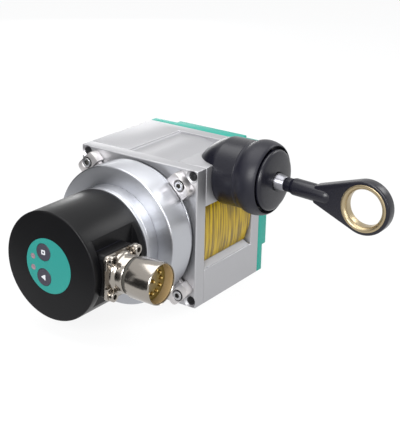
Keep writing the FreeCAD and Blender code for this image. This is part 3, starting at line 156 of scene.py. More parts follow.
# %% [markdown]
# A modifier can stay live or be applied. Here each is applied at once, because the next cut has
# to work on the real mesh. Two are used often enough to have a short name: a bevel that breaks
# the sharp edges, since a sharp edge catches no light, and smooth shading up to an angle.
# %% Modifiers and shading
def modifier(piece, kind, **settings):
    """Adds a modifier and applies it."""
    take(piece)
    bpy.ops.object.modifier_add(type=kind)
    name = piece.modifiers[-1].name
    for key, value in settings.items():
        setattr(piece.modifiers[-1], key, value)
    bpy.ops.object.modifier_apply(modifier=name)
    return piece


def break_edges(piece, width, segments=3, sharper_than=40, **more):
    """Rounds each edge that turns by more than an angle in degrees. width is in mm."""
    return modifier(piece, "BEVEL", width=width * MM, segments=segments, limit_method="ANGLE",
                    angle_limit=math.radians(sharper_than), **more)


def smooth(piece, degrees=25):
    """Shades a piece smooth, apart from its edges sharper than an angle."""
    take(piece)
    bpy.ops.object.shade_smooth_by_angle(angle=math.radians(degrees))
    return piece


# %% [markdown]
# Machined blocks start as a cube at their size and place. Milled pockets and holes are cut with
# a second body, which is the way a milling cutter makes them. Insets and extrusions could make
# a square pocket as well, but a body cuts round and square ones alike, and at any slant.
# %% Blocks, rods and cuts
def block(name, low, high):
    """A cube between two corners in mm."""
    let_go()
    centre = [(a + b) / 2 * MM for a, b in zip(low, high)]
    bpy.ops.mesh.primitive_cube_add(size=1, location=centre)
    piece = named(name)
    piece.scale = [(b - a) * MM for a, b in zip(low, high)]
    return set_down(piece)


def rod(name, radius, start, end, along="Y", across=(0.0, AXIS_Z), sides=96):
    """A cylinder from start to end along X or Y. across holds its other two places."""
    let_go()
    middle = (start + end) / 2
    place = {"X": (middle, across[0], across[1]), "Y": (across[0], middle, across[1])}[along]
    turned = {"X": (0, math.pi / 2, 0), "Y": (-math.pi / 2, 0, 0)}[along]
    bpy.ops.mesh.primitive_cylinder_add(vertices=sides, radius=radius * MM, depth=(end - start) * MM,
                                        location=[v * MM for v in place], rotation=turned)
    return set_down(named(name))


def carve(piece, *tools, operation="DIFFERENCE"):
    """Cuts tools out of a piece, or joins them to it, and drops the tools."""
    for tool in tools:
        modifier(piece, "BOOLEAN", object=tool, operation=operation, solver="EXACT")
        bpy.data.objects.remove(tool, do_unlink=True)
    return piece


# %% [markdown]
# Most pieces of this unit are turned, and so they come off a lathe here too. One vertex walks
# along the outline and leaves a chain of edges, which is closed and spun round the axis. The
# same walk draws the outline of a flat plate, which is then filled and pushed out.
# %% Walking along an outline
def spot(along, centre, across, up, place):
    """A point in metres, from two distances across an axis and a place along it, in mm."""
    if along == "Y":
        return Vector((centre[0] + across, place, centre[1] + up)) * MM
    return Vector((place, centre[0] + across, centre[1] + up)) * MM


def walk(name, points):
    """Leaves a chain of edges through points, and stays in edit mode."""
    let_go()
    bpy.ops.mesh.primitive_plane_add(size=MM, location=points[0])
    piece = set_down(named(name))
    bpy.ops.object.mode_set(mode="EDIT")
    bpy.ops.mesh.select_mode(type="VERT")
    bpy.ops.mesh.select_all(action="SELECT")
    bpy.ops.mesh.merge(type="CENTER")
    for a, b in zip(points, points[1:]):
        bpy.ops.mesh.extrude_region_move(TRANSFORM_OT_translate={"value": b - a})
    bpy.ops.mesh.select_all(action="SELECT")
    return piece


def arc(cx, cy, radius, start_deg, end_deg, count=8):
    """Points of a round in an outline."""
    points = []
    for k in range(count + 1):
        a = math.radians(start_deg + (end_deg - start_deg) * k / count)
        points.append((cx + radius * math.cos(a), cy + radius * math.sin(a)))
    return points


# %% [markdown]
# An outline that starts and ends on the axis closes itself when it is spun. Any other one is a
# ring's section, so its two ends are joined by an edge first. The doubles at the seam and on
# the axis are merged before the faces are turned outwards.
# %% The lathe and the plate
def lathe(name, outline, along="Y", centre=(0.0, AXIS_Z), steps=128):
    """Spins an outline of (radius, place along the axis) points, in mm."""
    if along == "Y":
        points = [spot(along, centre, radius, 0, place) for radius, place in outline]
    else:
        points = [spot(along, centre, 0, radius, place) for radius, place in outline]
    piece = walk(name, points)
    if outline[0][0] != 0 or outline[-1][0] != 0:
        bpy.ops.mesh.select_all(action="DESELECT")
        bpy.ops.object.mode_set(mode="OBJECT")
        last = len(piece.data.vertices) - 1
        for v in piece.data.vertices:
            v.select = v.index in (0, last)
        bpy.ops.object.mode_set(mode="EDIT")
        bpy.ops.mesh.edge_face_add()
        bpy.ops.mesh.select_all(action="SELECT")
    bpy.ops.mesh.spin(steps=steps, angle=2 * math.pi, center=spot(along, centre, 0, 0, 0),
                      axis=(0, 1, 0) if along == "Y" else (1, 0, 0))
    bpy.ops.mesh.select_all(action="SELECT")
    bpy.ops.mesh.remove_doubles(threshold=0.002 * MM)
    bpy.ops.mesh.normals_make_consistent(inside=False)
    bpy.ops.object.mode_set(mode="OBJECT")
    return smooth(piece, 30)


def slab(name, outline, low, high):
    """A plate with an outline of (x, z) points in mm, from low to high along Y."""
    piece = walk(name, [spot("Y", (0, 0), x, z, low) for x, z in outline])
    bpy.ops.mesh.edge_face_add()
    thick = spot("Y", (0, 0), 0, 0, high) - spot("Y", (0, 0), 0, 0, low)
    bpy.ops.mesh.extrude_region_move(TRANSFORM_OT_translate={"value": thick})
    bpy.ops.mesh.select_all(action="SELECT")
    bpy.ops.mesh.normals_make_consistent(inside=False)
    bpy.ops.object.mode_set(mode="OBJECT")
    return piece


def round_edges(piece, wanted, radius, segments):
    """Rounds only the edges whose two ends, in mm, pass a test."""
    take(piece)
    bpy.ops.object.mode_set(mode="EDIT")
    bpy.ops.mesh.select_mode(type="EDGE")
    bpy.ops.mesh.select_all(action="DESELECT")
    bpy.ops.object.mode_set(mode="OBJECT")
    for edge in piece.data.edges:
        a, b = (piece.data.vertices[i].co / MM for i in edge.vertices)
        edge.select = wanted(a, b)
    bpy.ops.object.mode_set(mode="EDIT")
    bpy.ops.mesh.bevel(offset=radius * MM, segments=segments)
    bpy.ops.object.mode_set(mode="OBJECT")
    return piece


# %% [markdown]
# ## Finishes
# Metal, moulding and film differ in colour and gloss, but what makes each look real is the same
# few effects at other scales. So each effect is a node group that is built once: a grain of two
# sizes, turning marks that run round the drum's axis, and thin strokes for the printed film.
# %% Small helpers for nodes
def new_group(name, inputs, outputs):
    """A shader node group with named number sockets."""
    tree = bpy.data.node_groups.new(name, "ShaderNodeTree")
    for label, default in inputs:
        socket = tree.interface.new_socket(label, in_out="INPUT", socket_type="NodeSocketFloat")
        socket.default_value = default
    for label in outputs:
        tree.interface.new_socket(label, in_out="OUTPUT", socket_type="NodeSocketFloat")
    return tree, tree.nodes.new("NodeGroupInput"), tree.nodes.new("NodeGroupOutput")


def link(tree, pairs):
    """Links each output socket to an input socket."""
    for a, b in pairs:
        tree.links.new(a, b)


def math_node(tree, operation, a, b=None):
    """One sum of two sockets or numbers. Gives back its output socket."""
    node = tree.nodes.new("ShaderNodeMath")
    node.operation = operation
    for socket, value in zip(node.inputs, (a, b)):
        if isinstance(value, (int, float)):
            socket.default_value = value
        elif value is not None:
            tree.links.new(value, socket)
    return node.outputs[0]


def noise_node(tree, detail, scale=1.0):
    """A noise texture with a level of detail."""
    noise = tree.nodes.new("ShaderNodeTexNoise")
    noise.inputs["Detail"].default_value = detail
    noise.inputs["Scale"].default_value = scale
    return noise


def object_axes(tree):
    """The three parts of the Object coordinates."""
    coords = tree.nodes.new("ShaderNodeTexCoord")
    split = tree.nodes.new("ShaderNodeSeparateXYZ")
    link(tree, [(coords.outputs["Object"], split.inputs[0])])
    return split.outputs


# %% [markdown]
# The grain gives the fine tooth of a blasted, moulded or plated surface, and the slow change
# that handling and light cloudiness bring. Object coordinates hold both in place on the piece.
# %% Grain
def make_grain_group():
    """Two sizes of noise: Fine for the surface itself, Broad for handling and cloudiness."""
    tree, ins, outs = new_group("surface_grain", [("Fine scale", 900.0), ("Broad scale", 40.0)],
                                ["Fine", "Broad"])
    coords = tree.nodes.new("ShaderNodeTexCoord")
    for label, scale, detail in (("Fine", "Fine scale", 4.0), ("Broad", "Broad scale", 3.0)):
        noise = noise_node(tree, detail)
        link(tree, [(coords.outputs["Object"], noise.inputs["Vector"]),
                    (ins.outputs[scale], noise.inputs["Scale"]), (noise.outputs["Fac"], outs.inputs[label])])
    return tree


GRAIN = make_grain_group()
print("Effect:", GRAIN.name)

# %% [markdown]
# A turning tool leaves fine rings on a faced disc and fine threads along a turned wall. Both
# are one noise here: it runs over the distance from the axis plus the place along it.
# %% Turning marks
def make_turning_group():
    """Fine rings round the drum's axis, as a turning tool leaves them."""
    tree, ins, outs = new_group("turning_marks", [("Rings per mm", 3.0)], ["Rings"])
    axes = object_axes(tree)
    x2 = math_node(tree, "POWER", axes["X"], 2.0)
    z2 = math_node(tree, "POWER", math_node(tree, "SUBTRACT", axes["Z"], AXIS_Z * MM), 2.0)
    radius = math_node(tree, "SQRT", math_node(tree, "ADD", x2, z2))
    along = math_node(tree, "ADD", radius, axes["Y"])
    count = math_node(tree, "MULTIPLY", along, ins.outputs["Rings per mm"])
    count = math_node(tree, "MULTIPLY", count, 1 / MM)
    noise = noise_node(tree, 3.0)
    noise.noise_dimensions = "1D"
    link(tree, [(count, noise.inputs["W"]), (noise.outputs["Fac"], outs.inputs["Rings"])])
    return tree


TURNING = make_turning_group()
print("Effect:", TURNING.name)

# %% [markdown]
# The yellow film carries generic thin strokes that stand upright and lean a little with the
# curved plate. A noise that is squeezed along Y and drawn out along Z gives such strokes, and a
# range cuts them out of it. A coarse and a fine layer are laid over each other.
# %% Strokes of the film
STROKE_LEAN = 0.95
STROKE_LAYERS = (
    {"across": 560.0, "up": 22.0, "low": 0.485, "high": 0.585},
    {"across": 1300.0, "up": 50.0, "low": 0.50, "high": 0.61},
)


def make_streak_group():
    """Thin upright strokes, close together along Y and broken up along Z."""
    tree, ins, outs = new_group("printed_streaks", [("Strength", 0.8)], ["Streaks"])
    axes = object_axes(tree)
    leaning = math_node(tree, "ADD", axes["Y"], math_node(tree, "MULTIPLY", axes["X"], STROKE_LEAN))
    total = None
    for layer in STROKE_LAYERS:
        place = tree.nodes.new("ShaderNodeCombineXYZ")
        noise = noise_node(tree, 2.0)
        mask = tree.nodes.new("ShaderNodeMapRange")
        mask.inputs["From Min"].default_value = layer["low"]
        mask.inputs["From Max"].default_value = layer["high"]
        link(tree, [(math_node(tree, "MULTIPLY", leaning, layer["across"]), place.inputs["X"]),
                    (math_node(tree, "MULTIPLY", axes["Z"], layer["up"]), place.inputs["Y"]),
                    (place.outputs[0], noise.inputs["Vector"]), (noise.outputs["Fac"], mask.inputs["Value"])])
        total = mask.outputs[0] if total is None else math_node(tree, "MAXIMUM", total, mask.outputs[0])
    link(tree, [(math_node(tree, "MULTIPLY", total, ins.outputs["Strength"]), outs.inputs["Streaks"])])
    return tree


STREAKS = make_streak_group()
print("Effect:", STREAKS.name)

# %% [markdown]
# A finish is a Principled shader with one colour that is mottled a little, a roughness that
# varies with the grain, and a bump. What is the same all over the surface is set on the
# shader's own sockets. Two extras serve one finish each: strokes of a second colour, and
# highlights that are drawn out across the turning marks, as on every faced disc.
# %% One way to mix a finish
BUMP_DEPTH = 0.1 * MM


def group_node(tree, group):
    """A node group placed in a material."""
    node = tree.nodes.new("ShaderNodeGroup")
    node.node_tree = group
    return node


def colour_mix(tree):
    """A node that mixes two colours."""
    node = tree.nodes.new("ShaderNodeMix")
    node.data_type = "RGBA"
    return node


def draw_strokes(tree, shader, ground, colour):
    """Lays strokes of a colour over the ground colour."""
    strokes = group_node(tree, STREAKS)
    inked = colour_mix(tree)
    inked.inputs["B"].default_value = list(colour) + [1.0]
    link(tree, [(ground, inked.inputs["A"]), (strokes.outputs["Streaks"], inked.inputs["Factor"]),
                (inked.outputs["Result"], shader.inputs["Base Color"])])


def stretch_highlights(tree, shader, amount):
    """Draws highlights out from the drum's axis, across the turning marks."""
    tangent = tree.nodes.new("ShaderNodeTangent")
    tangent.direction_type = "RADIAL"
    tangent.axis = "Y"
    link(tree, [(tangent.outputs["Tangent"], shader.inputs["Tangent"])])
    shader.inputs["Anisotropic"].default_value = amount
    shader.inputs["Anisotropic Rotation"].default_value = 0.25


def finish(name, colour, rough, metal=0.0, fine=900.0, broad=40.0, mottle=0.06, sway=0.08,
           bump=0.1, rings=0.0, coat=0.0, specular=0.5, stretch=0.0, strokes=None):
    """A named finish. rings is turning marks per mm, and strokes is the colour of drawn strokes."""
    material = bpy.data.materials.new(name)
    material.use_nodes = True
    tree = material.node_tree
    shader = tree.nodes["Principled BSDF"]
    grain = group_node(tree, GRAIN)
    grain.inputs["Fine scale"].default_value = fine
    grain.inputs["Broad scale"].default_value = broad
    texture = grain.outputs["Fine"]
    if rings:
        marks = group_node(tree, TURNING)
        marks.inputs["Rings per mm"].default_value = rings
        texture = marks.outputs["Rings"]
    tint = colour_mix(tree)
    tint.inputs["A"].default_value = [max(c * (1 - mottle), 0.0) for c in colour] + [1.0]
    tint.inputs["B"].default_value = [min(c * (1 + mottle), 1.0) for c in colour] + [1.0]
    spread = tree.nodes.new("ShaderNodeMapRange")
    spread.inputs["To Min"].default_value = max(rough - sway, 0.03)
    spread.inputs["To Max"].default_value = min(rough + sway, 1.0)
    relief = tree.nodes.new("ShaderNodeBump")
    relief.inputs["Strength"].default_value = bump
    relief.inputs["Distance"].default_value = BUMP_DEPTH
    link(tree, [(grain.outputs["Broad"], tint.inputs["Factor"]),
                (tint.outputs["Result"], shader.inputs["Base Color"]),
                (texture, spread.inputs["Value"]), (spread.outputs["Result"], shader.inputs["Roughness"]),
                (texture, relief.inputs["Height"]), (relief.outputs["Normal"], shader.inputs["Normal"])])
    if strokes:
        draw_strokes(tree, shader, tint.outputs["Result"], strokes)
    if stretch:
        stretch_highlights(tree, shader, stretch)
    shader.inputs["Metallic"].default_value = metal
    shader.inputs["Coat Weight"].default_value = coat
    shader.inputs["Specular IOR Level"].default_value = specular
    return material


# %% [markdown]
# The aluminium parts differ in how they were worked: the housing is blasted and clear anodised,
# the discs are turned and the clamps milled. The nickel of the connector is the glossiest metal,
# and the bronze of the eye and the gold of the pins are the only yellow ones.
# %% Metals
METAL = {
    "housing": finish("blasted_aluminium", (0.41, 0.41, 0.425), 0.46, metal=1.0, fine=1400, bump=0.12,
                      mottle=0.03),
    "turned": finish("turned_aluminium", (0.46, 0.47, 0.50), 0.36, metal=1.0, rings=1.6, bump=0.10,
                     mottle=0.03, sway=0.06, stretch=0.85),
    "clamp": finish("milled_aluminium", (0.58, 0.56, 0.56), 0.40, metal=1.0, fine=1100, bump=0.1),
    "nickel": finish("nickel_plating", (0.32, 0.295, 0.265), 0.18, metal=1.0, fine=1200, bump=0.06),
    "gold": finish("gold_contact", (0.70, 0.52, 0.20), 0.25, metal=1.0),
    "steel": finish("bright_steel", (0.42, 0.42, 0.43), 0.26, metal=1.0, fine=1500, bump=0.02, sway=0.04),
    "spring_steel": finish("blued_strip", (0.20, 0.22, 0.27), 0.35, metal=1.0),
    "bush": finish("bronze", (0.375, 0.305, 0.190), 0.33, metal=1.0, fine=500, bump=0.01),
    "ferrule": finish("crimped_steel", (0.21, 0.21, 0.23), 0.33, metal=1.0, fine=1500, bump=0.02, sway=0.05),
}
print(len(METAL), "metals")

# %% [markdown]
# Lacquer, mouldings, rubber and film are all dull, so a low specular level keeps the white room
# from greying them. Five finishes have no slot of their own: mark, lining and strip are for small
# trim, dark is painted shade in the screw sockets and in the connector's groove, and the ferrule's
# is a darker steel. They share the slot of their neighbours.
# %% Mouldings, film, trim and painted shade
OTHER = {
    "black_cover": finish("black_lacquer", (0.004, 0.004, 0.0045), 0.33, fine=1600, bump=0.05, sway=0.05,
                          specular=0.13),
    "black_plastic": finish("black_moulding", (0.004, 0.004, 0.008), 0.30, fine=1300, bump=0.08,
                            specular=0.36),
    "black_rubber": finish("black_rubber", (0.007, 0.007, 0.012), 0.40, fine=1000, bump=0.10, specular=0.28),
    "green_cover": finish("green_moulding", (0.004, 0.255, 0.200), 0.45, fine=1200, bump=0.1, mottle=0.05,
                          specular=0.3),
    "green_panel": finish("green_film", (0.010, 0.160, 0.140), 0.42, fine=1500, bump=0.05, mottle=0.04,
                          specular=0.25),
    "key": finish("key_plastic", (0.028, 0.026, 0.038), 0.45, fine=1400, bump=0.08, specular=0.3),
    "lamp": finish("lamp_lens", (0.170, 0.110, 0.130), 0.20, fine=800, bump=0.03, coat=0.3),
    "yellow": finish("yellow_film", (0.410, 0.275, 0.004), 0.38, fine=900, bump=0.05, mottle=0.12,
                     specular=0.3, strokes=(0.080, 0.048, 0.008)),
    "insert": finish("amber_insert", (0.128, 0.085, 0.015), 0.35, fine=900, bump=0.1, coat=0.2),
    "board": finish("board_lacquer", (0.020, 0.160, 0.060), 0.30),
    "felt": finish("pressed_felt", (0.300, 0.290, 0.270), 0.90, fine=600, bump=0.5),
    "mark": finish("pale_print", (0.42, 0.42, 0.44), 0.45),
    "lining": finish("amber_lining", (0.260, 0.182, 0.088), 0.30, fine=900, bump=0.05),
    "strip": finish("painted_strip", (0.380, 0.385, 0.410), 0.40, fine=1200, bump=0.08),
    # dark is painted shade: a near-black that stands in for shade in sockets and grooves.
    "dark": finish("painted_shade_black", (0.030, 0.028, 0.022), 0.60),
}
FINISH = {**METAL, **OTHER}
print(len(FINISH), "finishes")

# %% [markdown]
# The CAD nodes whose shape is right already keep their mesh and only change their finish. The
# record says which slot each node takes. A new piece says which body it rides on and which
# node it stands for, and that node is then hidden.
# %% Finishes for nodes and pieces
slot_of = {row["node"]: row["material_slot"] for row in frame["record"]["subparts"]}


def paint(piece, material):
    """Gives a piece one material."""
    piece.data.materials.clear()
    piece.data.materials.append(material)


def done(piece, body, slot_name, stands_for=None, material=None):
    """Gives a finished piece its finish, body and slot, and hides the node it stands for."""
    paint(piece, material or FINISH[slot_name])
    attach(piece, body)
    if stands_for:
        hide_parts(stands_for)


def done_each(pieces, slot_name, stands_for, material=None):
    """The same for pieces of the housing that are one node in CAD. The first stands for it."""
    for number, piece in enumerate(pieces):
        done(piece, "housing", slot_name, stands_for if number == 0 else None, material)


for node_name, node in frame["nodes"].items():
    paint(node, FINISH[slot_of[node_name]])
print(len(slot_of), "nodes have a finish")


# %% [markdown]
# ## The encoder
# The cover is a turned aluminium cap. Its outline is walked once and spun, with a round of
# nearly a millimetre on the front edge, which is the bright line that the photograph shows. The
# flat for the connector and the wells for panel, keys and lamps are milled into it afterwards,
# because a lathe can't make anything that isn't round about its own axis.
# %% Cover of the encoder
COVER_R = span("encoder_cover", 0)[1]
FLAT_X = span("connector_gasket", 0)[0]
PANEL_X, PANEL_R = -1.0, 14.7
KEY_X = middle_of("upper_key", 0)
KEY_HEIGHTS = {which: middle_of(which + "_key", 2) for which in ("upper", "lower")}
LAMP_X = middle_of("status_lamps", 0)
LAMP_HEIGHTS = (AXIS_Z + 3.0, AXIS_Z - 3.0)
FRONT_ROUND, BACK_ROUND = 0.9, 0.4
COVER_BORE = 18.2
inner_face = END_FACE + 3.0
before_face = END_FACE - 1
cover = lathe("cover_cap", [(0, END_FACE)]
              + arc(COVER_R - FRONT_ROUND, END_FACE + FRONT_ROUND, FRONT_ROUND, 270, 360)
              + arc(COVER_R - BACK_ROUND, COVER_BACK - BACK_ROUND, BACK_ROUND, 0, 90, 4)
              + [(COVER_BORE, COVER_BACK), (COVER_BORE, inner_face), (0, inner_face)], steps=160)
carve(cover, block("flat_cutter", (FLAT_X, -96.9, 0), (32, -65.6, 78)))
break_edges(cover, 0.3, sharper_than=28, use_clamp_overlap=False)
carve(cover, rod("panel_cutter", PANEL_R, before_face, END_FACE + 0.5, across=(PANEL_X, AXIS_Z)))
for height in KEY_HEIGHTS.values():
    at = (KEY_X, height)
    carve(cover, rod("well_cutter", 4.75, before_face, END_FACE + 1.8, across=at, sides=64),
          rod("stem_cutter", 2.1, before_face, END_FACE + 4, across=at, sides=32))
for height in LAMP_HEIGHTS:
    carve(cover, rod("lamp_cutter", 1.52, before_face, END_FACE + 4, across=(LAMP_X, height), sides=32))
done(smooth(cover), "housing", "black_cover", "encoder_cover")
print("Cover with", len(cover.data.polygons), "faces")

# %% [markdown]
# A key is a moulded cap with a shallow hollow for the finger, on a stem with a snap rim at its
# back. The whole of it is one turned outline, so the stem goes into its hole with the cap.
# What repeats on this unit is made once and copied. A linked copy would share one mesh, but
# here every piece needs a mesh of its own, so it is a full one.
# %% Caps of the keys
def copies(piece, name, places, along="Y"):
    """A piece that stands at the first place, with a copy of it for each of the others."""
    pieces = [piece]
    for number, place in enumerate(places[1:], start=2):
        take(piece)
        bpy.ops.object.duplicate(linked=False)
        twin = named(name % number)
        twin.location = spot(along, (0, 0), place[0] - places[0][0], place[1] - places[0][1], 0)
        pieces.append(set_down(twin))
    return pieces


KEY_STAND = 0.2
key_front = END_FACE - KEY_STAND
key_places = [(KEY_X, height) for height in KEY_HEIGHTS.values()]
cap_outline = [(0, key_front + 0.12), (2.6, key_front + 0.08), (3.9, key_front)]
cap_outline += arc(4.2, key_front + 0.4, 0.4, 270, 360, 5)
cap_outline += [(4.6, key_front + 1.4), (2.0, key_front + 1.4), (2.0, key_front + 3.3),
                (2.8, key_front + 3.3), (2.8, key_front + 3.9), (2.0, key_front + 3.9),
                (2.0, -97.6), (0, -97.6)]
key_caps = copies(lathe("key_cap_1", cap_outline, centre=key_places[0], steps=64), "key_cap_%d", key_places)
print(len(key_caps), "key caps stand", KEY_STAND, "mm over the cover's face")

# %% [markdown]
# Each key has a plain pale symbol: a square ring and a triangle. A rod with three or four sides
# is already that outline, so it only needs a turn and soft corners. It stands a hair over the
# cap, because a print needs its own clean edge, and it rides on the key's own body.
# %% Symbols of the keys
SYMBOLS = {"upper": {"sides": 4, "radius": 1.75, "turn_deg": 45, "hole": 0.62},
           "lower": {"sides": 3, "radius": 1.9, "turn_deg": -90, "hole": 0}}


def shape_symbol(which):
    plan = SYMBOLS[which]
    at = (KEY_X, KEY_HEIGHTS[which])
    symbol = rod(which + "_key_symbol", plan["radius"], key_front - 0.03, key_front + 0.25, across=at,
                 sides=plan["sides"])
    take(symbol)
    bpy.ops.object.mode_set(mode="EDIT")
    bpy.ops.mesh.select_all(action="SELECT")
    bpy.ops.transform.rotate(value=math.radians(plan["turn_deg"]), orient_axis="Y",
                             center_override=(at[0] * MM, key_front * MM, at[1] * MM))
    bpy.ops.object.mode_set(mode="OBJECT")
    round_edges(symbol, lambda a, b: abs(a.y - b.y) > 0.1, 0.35, 4)
    if plan["hole"]:
        carve(symbol, rod("symbol_middle", plan["hole"], key_front - 1, key_front + 1, across=at, sides=24))
    return symbol


for which, cap in zip(KEY_HEIGHTS, key_caps):
    cap.name = which + "_key_cap"
    done(cap, "button_" + which, "key", which + "_key")
    done(shape_symbol(which), "button_" + which, "key", material=FINISH["mark"])
    print("Key", which, "at height", KEY_HEIGHTS[which])

# %% [markdown]
# The two lamps are small lenses that stand a little over the film. A ball would be too round:
# such a lens is nearly flat, so its outline has three short steps from the middle to the rim.
# %% Lamps
lens_back = span("circuit_board", 1)[0] - 0.5
lamp_places = [(LAMP_X, height) for height in LAMP_HEIGHTS]
lens = lathe("lamp_lens_1", [(0, END_FACE - 0.25), (0.7, END_FACE - 0.2), (1.2, END_FACE - 0.05),
                             (1.5, END_FACE + 0.1), (1.5, lens_back), (0, lens_back)],
             centre=lamp_places[0], steps=40)
done_each(copies(lens, "lamp_lens_%d", lamp_places), "lamp", "status_lamps")
print("Two lamp lenses, back at", lens_back)

# %% [markdown]
# The clamping flange behind the cover is turned from bar, with a fine edge on both sides and a
# shallow groove near the front. Its hub and spigot are hidden, but the outline still holds them,
# so that the piece is complete when the unit is taken apart.
# %% Flange ring of the encoder
flange_front, flange_back = span("encoder_flange", 1)
DISC_FRONT = span("flange_disc", 1)[0]
BEARING_R, SHAFT_CLEAR = 9.52, 8.0
ring = lathe("flange_ring", [
    (BEARING_R, flange_front), (13.0, flange_front), (13.0, -63.6), (25.98, -63.6), (25.98, -60.6),
    (28.5, -60.6), (28.85, -60.45), (29.0, -60.1), (29.0, -58.9), (28.8, -58.7), (28.8, -58.4),
    (29.0, -58.2), (29.0, -51.7), (28.85, -51.35), (28.5, DISC_FRONT), (18.0, DISC_FRONT),
    (18.0, flange_back), (BEARING_R, flange_back), (BEARING_R, -53.2), (SHAFT_CLEAR, -53.2),
    (SHAFT_CLEAR, -81.6), (BEARING_R, -81.6)], steps=160)
done(ring, "housing", "turned", "encoder_flange")
print("Flange ring from", flange_front, "to", flange_back)

# %% [markdown]
# The disc joins the encoder to the square housing. It is turned on both sides: a round front
# edge, a groove behind the rim, and a lip that the corner clamps hold down on the plate.
# %% Flange disc
LIP_R, LIP_FRONT, LIP_BACK = 36.5, -32.3, -27.3
disc = lathe("clamped_disc", [(18.02, DISC_FRONT), (37.7, DISC_FRONT)] + arc(37.9, -50.4, 0.8, 270, 360, 5)
             + arc(38.3, -35.8, 0.4, 0, 90, 4)
             + [(33.5, -35.4), (33.5, LIP_FRONT), (36.2, LIP_FRONT), (LIP_R, -32.0), (LIP_R, LIP_BACK),
                (28.5, LIP_BACK), (28.5, -45.2), (18.02, -45.2)], steps=192)
done(disc, "housing", "turned", "flange_disc")
print("Disc with a radius of", span("flange_disc", 0)[1])

# %% [markdown]
# ## The housing
# The wire outlet sits in a pocket with the same domed outline as itself, a little larger, so one
# function gives that outline to both. Two arcs meet in it: a tight one at the tip and a long
# one up to the full width. Points that crowd together where they meet are left out.
# %% Outline of the outlet's dome
DOME_ARCS = (
    {"x": 35.80, "r": -0.05, "radius": 15.0, "start": 180.0, "end": 125.9, "count": 10},
    {"x": 45.86, "r": -8.60, "radius": 28.0, "start": 132.3, "end": 104.6, "count": 8},
)


def dome_outline(grow=0.0):
    """Outline of the dome as (radius, x) points, from the tip to the full width."""
    points = []
    for part in DOME_ARCS:
        points += [(max(r, 0.0), x) for x, r in arc(part["x"], part["r"], part["radius"] + grow,
                                                    part["start"], part["end"], part["count"])]
    kept = points[:1]
    for point in points[1:]:
        if point[0] > kept[-1][0] + 0.3:
            kept.append(point)
    return kept


print("Dome outline", [(round(a, 1), round(b, 1)) for a, b in dome_outline()][::6])

# %% [markdown]
# The housing is a milled block. Its long edges are broken before any round cut, so that the
# bevel runs clean along them. The barrel that holds the drum is joined after that and is then
# bored. The top window is open on its right, and on its left a flat floor meets the barrel.
# %% Drum housing
BARREL_R, DRUM_BORE = 38.0, 35.4
SILL, LINTEL = AXIS_Z - 18.8, AXIS_Z + 17.5
CORNERS = [(1, 1), (-1, 1), (-1, -1), (1, -1)]
CORNER_HOLE, CORNER_HOLE_R = 35.5, 2.5
OUTLET = {"along": "X", "centre": (0, WIRE_Z)}


def in_corners(reach, centre=(0.0, AXIS_Z)):
    """The corners of a square round a centre, from the upper right to the lower right."""
    return [(centre[0] + side * reach, centre[1] + up * reach) for side, up in CORNERS]


housing = block("housing_block", HOUSING_LOW, HOUSING_HIGH)
carve(housing, block("side_window", (25, -30, SILL), (50, 23.4, LINTEL)),
      block("top_window", (-12.5, -30, 64), (20.8, 23.4, 90)))
break_edges(housing, 0.5)
pocket = dome_outline(0.15) + [(18.65, 39.5), (18.65, 60.0), (0, 60.0)]
carve(housing, lathe("pocket_cutter", pocket, **OUTLET))
carve(housing, rod("barrel", BARREL_R, -23.05, 31.2, sides=192),
      slab("top_floor", [(-14.0, 72.0), (-14.0, 77.3), (-12.4, 77.3), (-11.6, 76.75), (0.5, 76.95),
                         (0.5, 72.0)], -23.0, 23.6), operation="UNION")
carve(housing, lathe("bore_cutter", [
    (0, -30), (DRUM_BORE, -30), (DRUM_BORE, 11.0), (BEARING_R, 11.0), (BEARING_R, 16.0),
    (SHAFT_CLEAR, 16.0), (SHAFT_CLEAR, 16.3), (13.0, 16.3), (13.0, 14.0), (34.0, 14.0), (34.0, 40.0),
    (0, 40.0)], steps=160))
carve(housing, rod("wire_hole_cutter", 1.3, 9.4, 45.0, along="X", across=(0, WIRE_Z), sides=32))
for across in in_corners(CORNER_HOLE):
    carve(housing, rod("hole_cutter", CORNER_HOLE_R, -30, -19.3, across=across, sides=48))
done(smooth(housing), "housing", "housing", "drum_housing")
print("Drum housing with", len(housing.data.polygons), "faces")

# %% [markdown]
# Under the yellow plate a pale strip closes the side window, with a slanted face that catches
# the light. It is a plate with a five-cornered outline, pushed out along the window.
# %% Strip under the yellow plate
strip = slab("window_strip", [(33.6, SILL + 0.1), (38.6, SILL + 0.1), (38.6, SILL + 0.4),
                              (35.2, SILL + 2.2), (33.6, SILL + 2.2)], -23.0, 21.6)
break_edges(strip, 0.2, segments=2, sharper_than=30)
done(strip, "housing", "housing", material=FINISH["strip"])
print("Strip over the sill at", round(SILL, 2))

# %% [markdown]
# The front plate is a square of the same size. Each corner has a countersunk hole, cut with a
# small cone, and the middle has the round recess that takes the disc's lip.
# %% Front plate
PLATE_FRONT = span("front_plate", 1)[0]
plate = block("square_plate", (HOUSING_LOW[0], PLATE_FRONT, HOUSING_LOW[2]),
              (HOUSING_HIGH[0], HOUSING_LOW[1], HOUSING_HIGH[2]))
break_edges(plate, 0.6, segments=4)
carve(plate, lathe("recess_cutter", [
    (0, -35), (37.3, -35), (37.3, PLATE_FRONT), (37.0, -31.0), (37.0, LIP_BACK), (13, LIP_BACK),
    (13, -21), (BEARING_R, -21), (BEARING_R, -27.0), (SHAFT_CLEAR, -27.0), (SHAFT_CLEAR, -30), (0, -30)],
    steps=160))
for across in in_corners(CORNER_HOLE):
    carve(plate, lathe("sink_cutter", [(0, -33), (4.4, -33), (4.4, -31.9), (CORNER_HOLE_R, -30.2),
                                       (CORNER_HOLE_R, -20), (0, -20)], centre=across, steps=48))
done(smooth(plate), "housing", "housing", "front_plate")
print("Front plate with", len(plate.data.polygons), "faces")

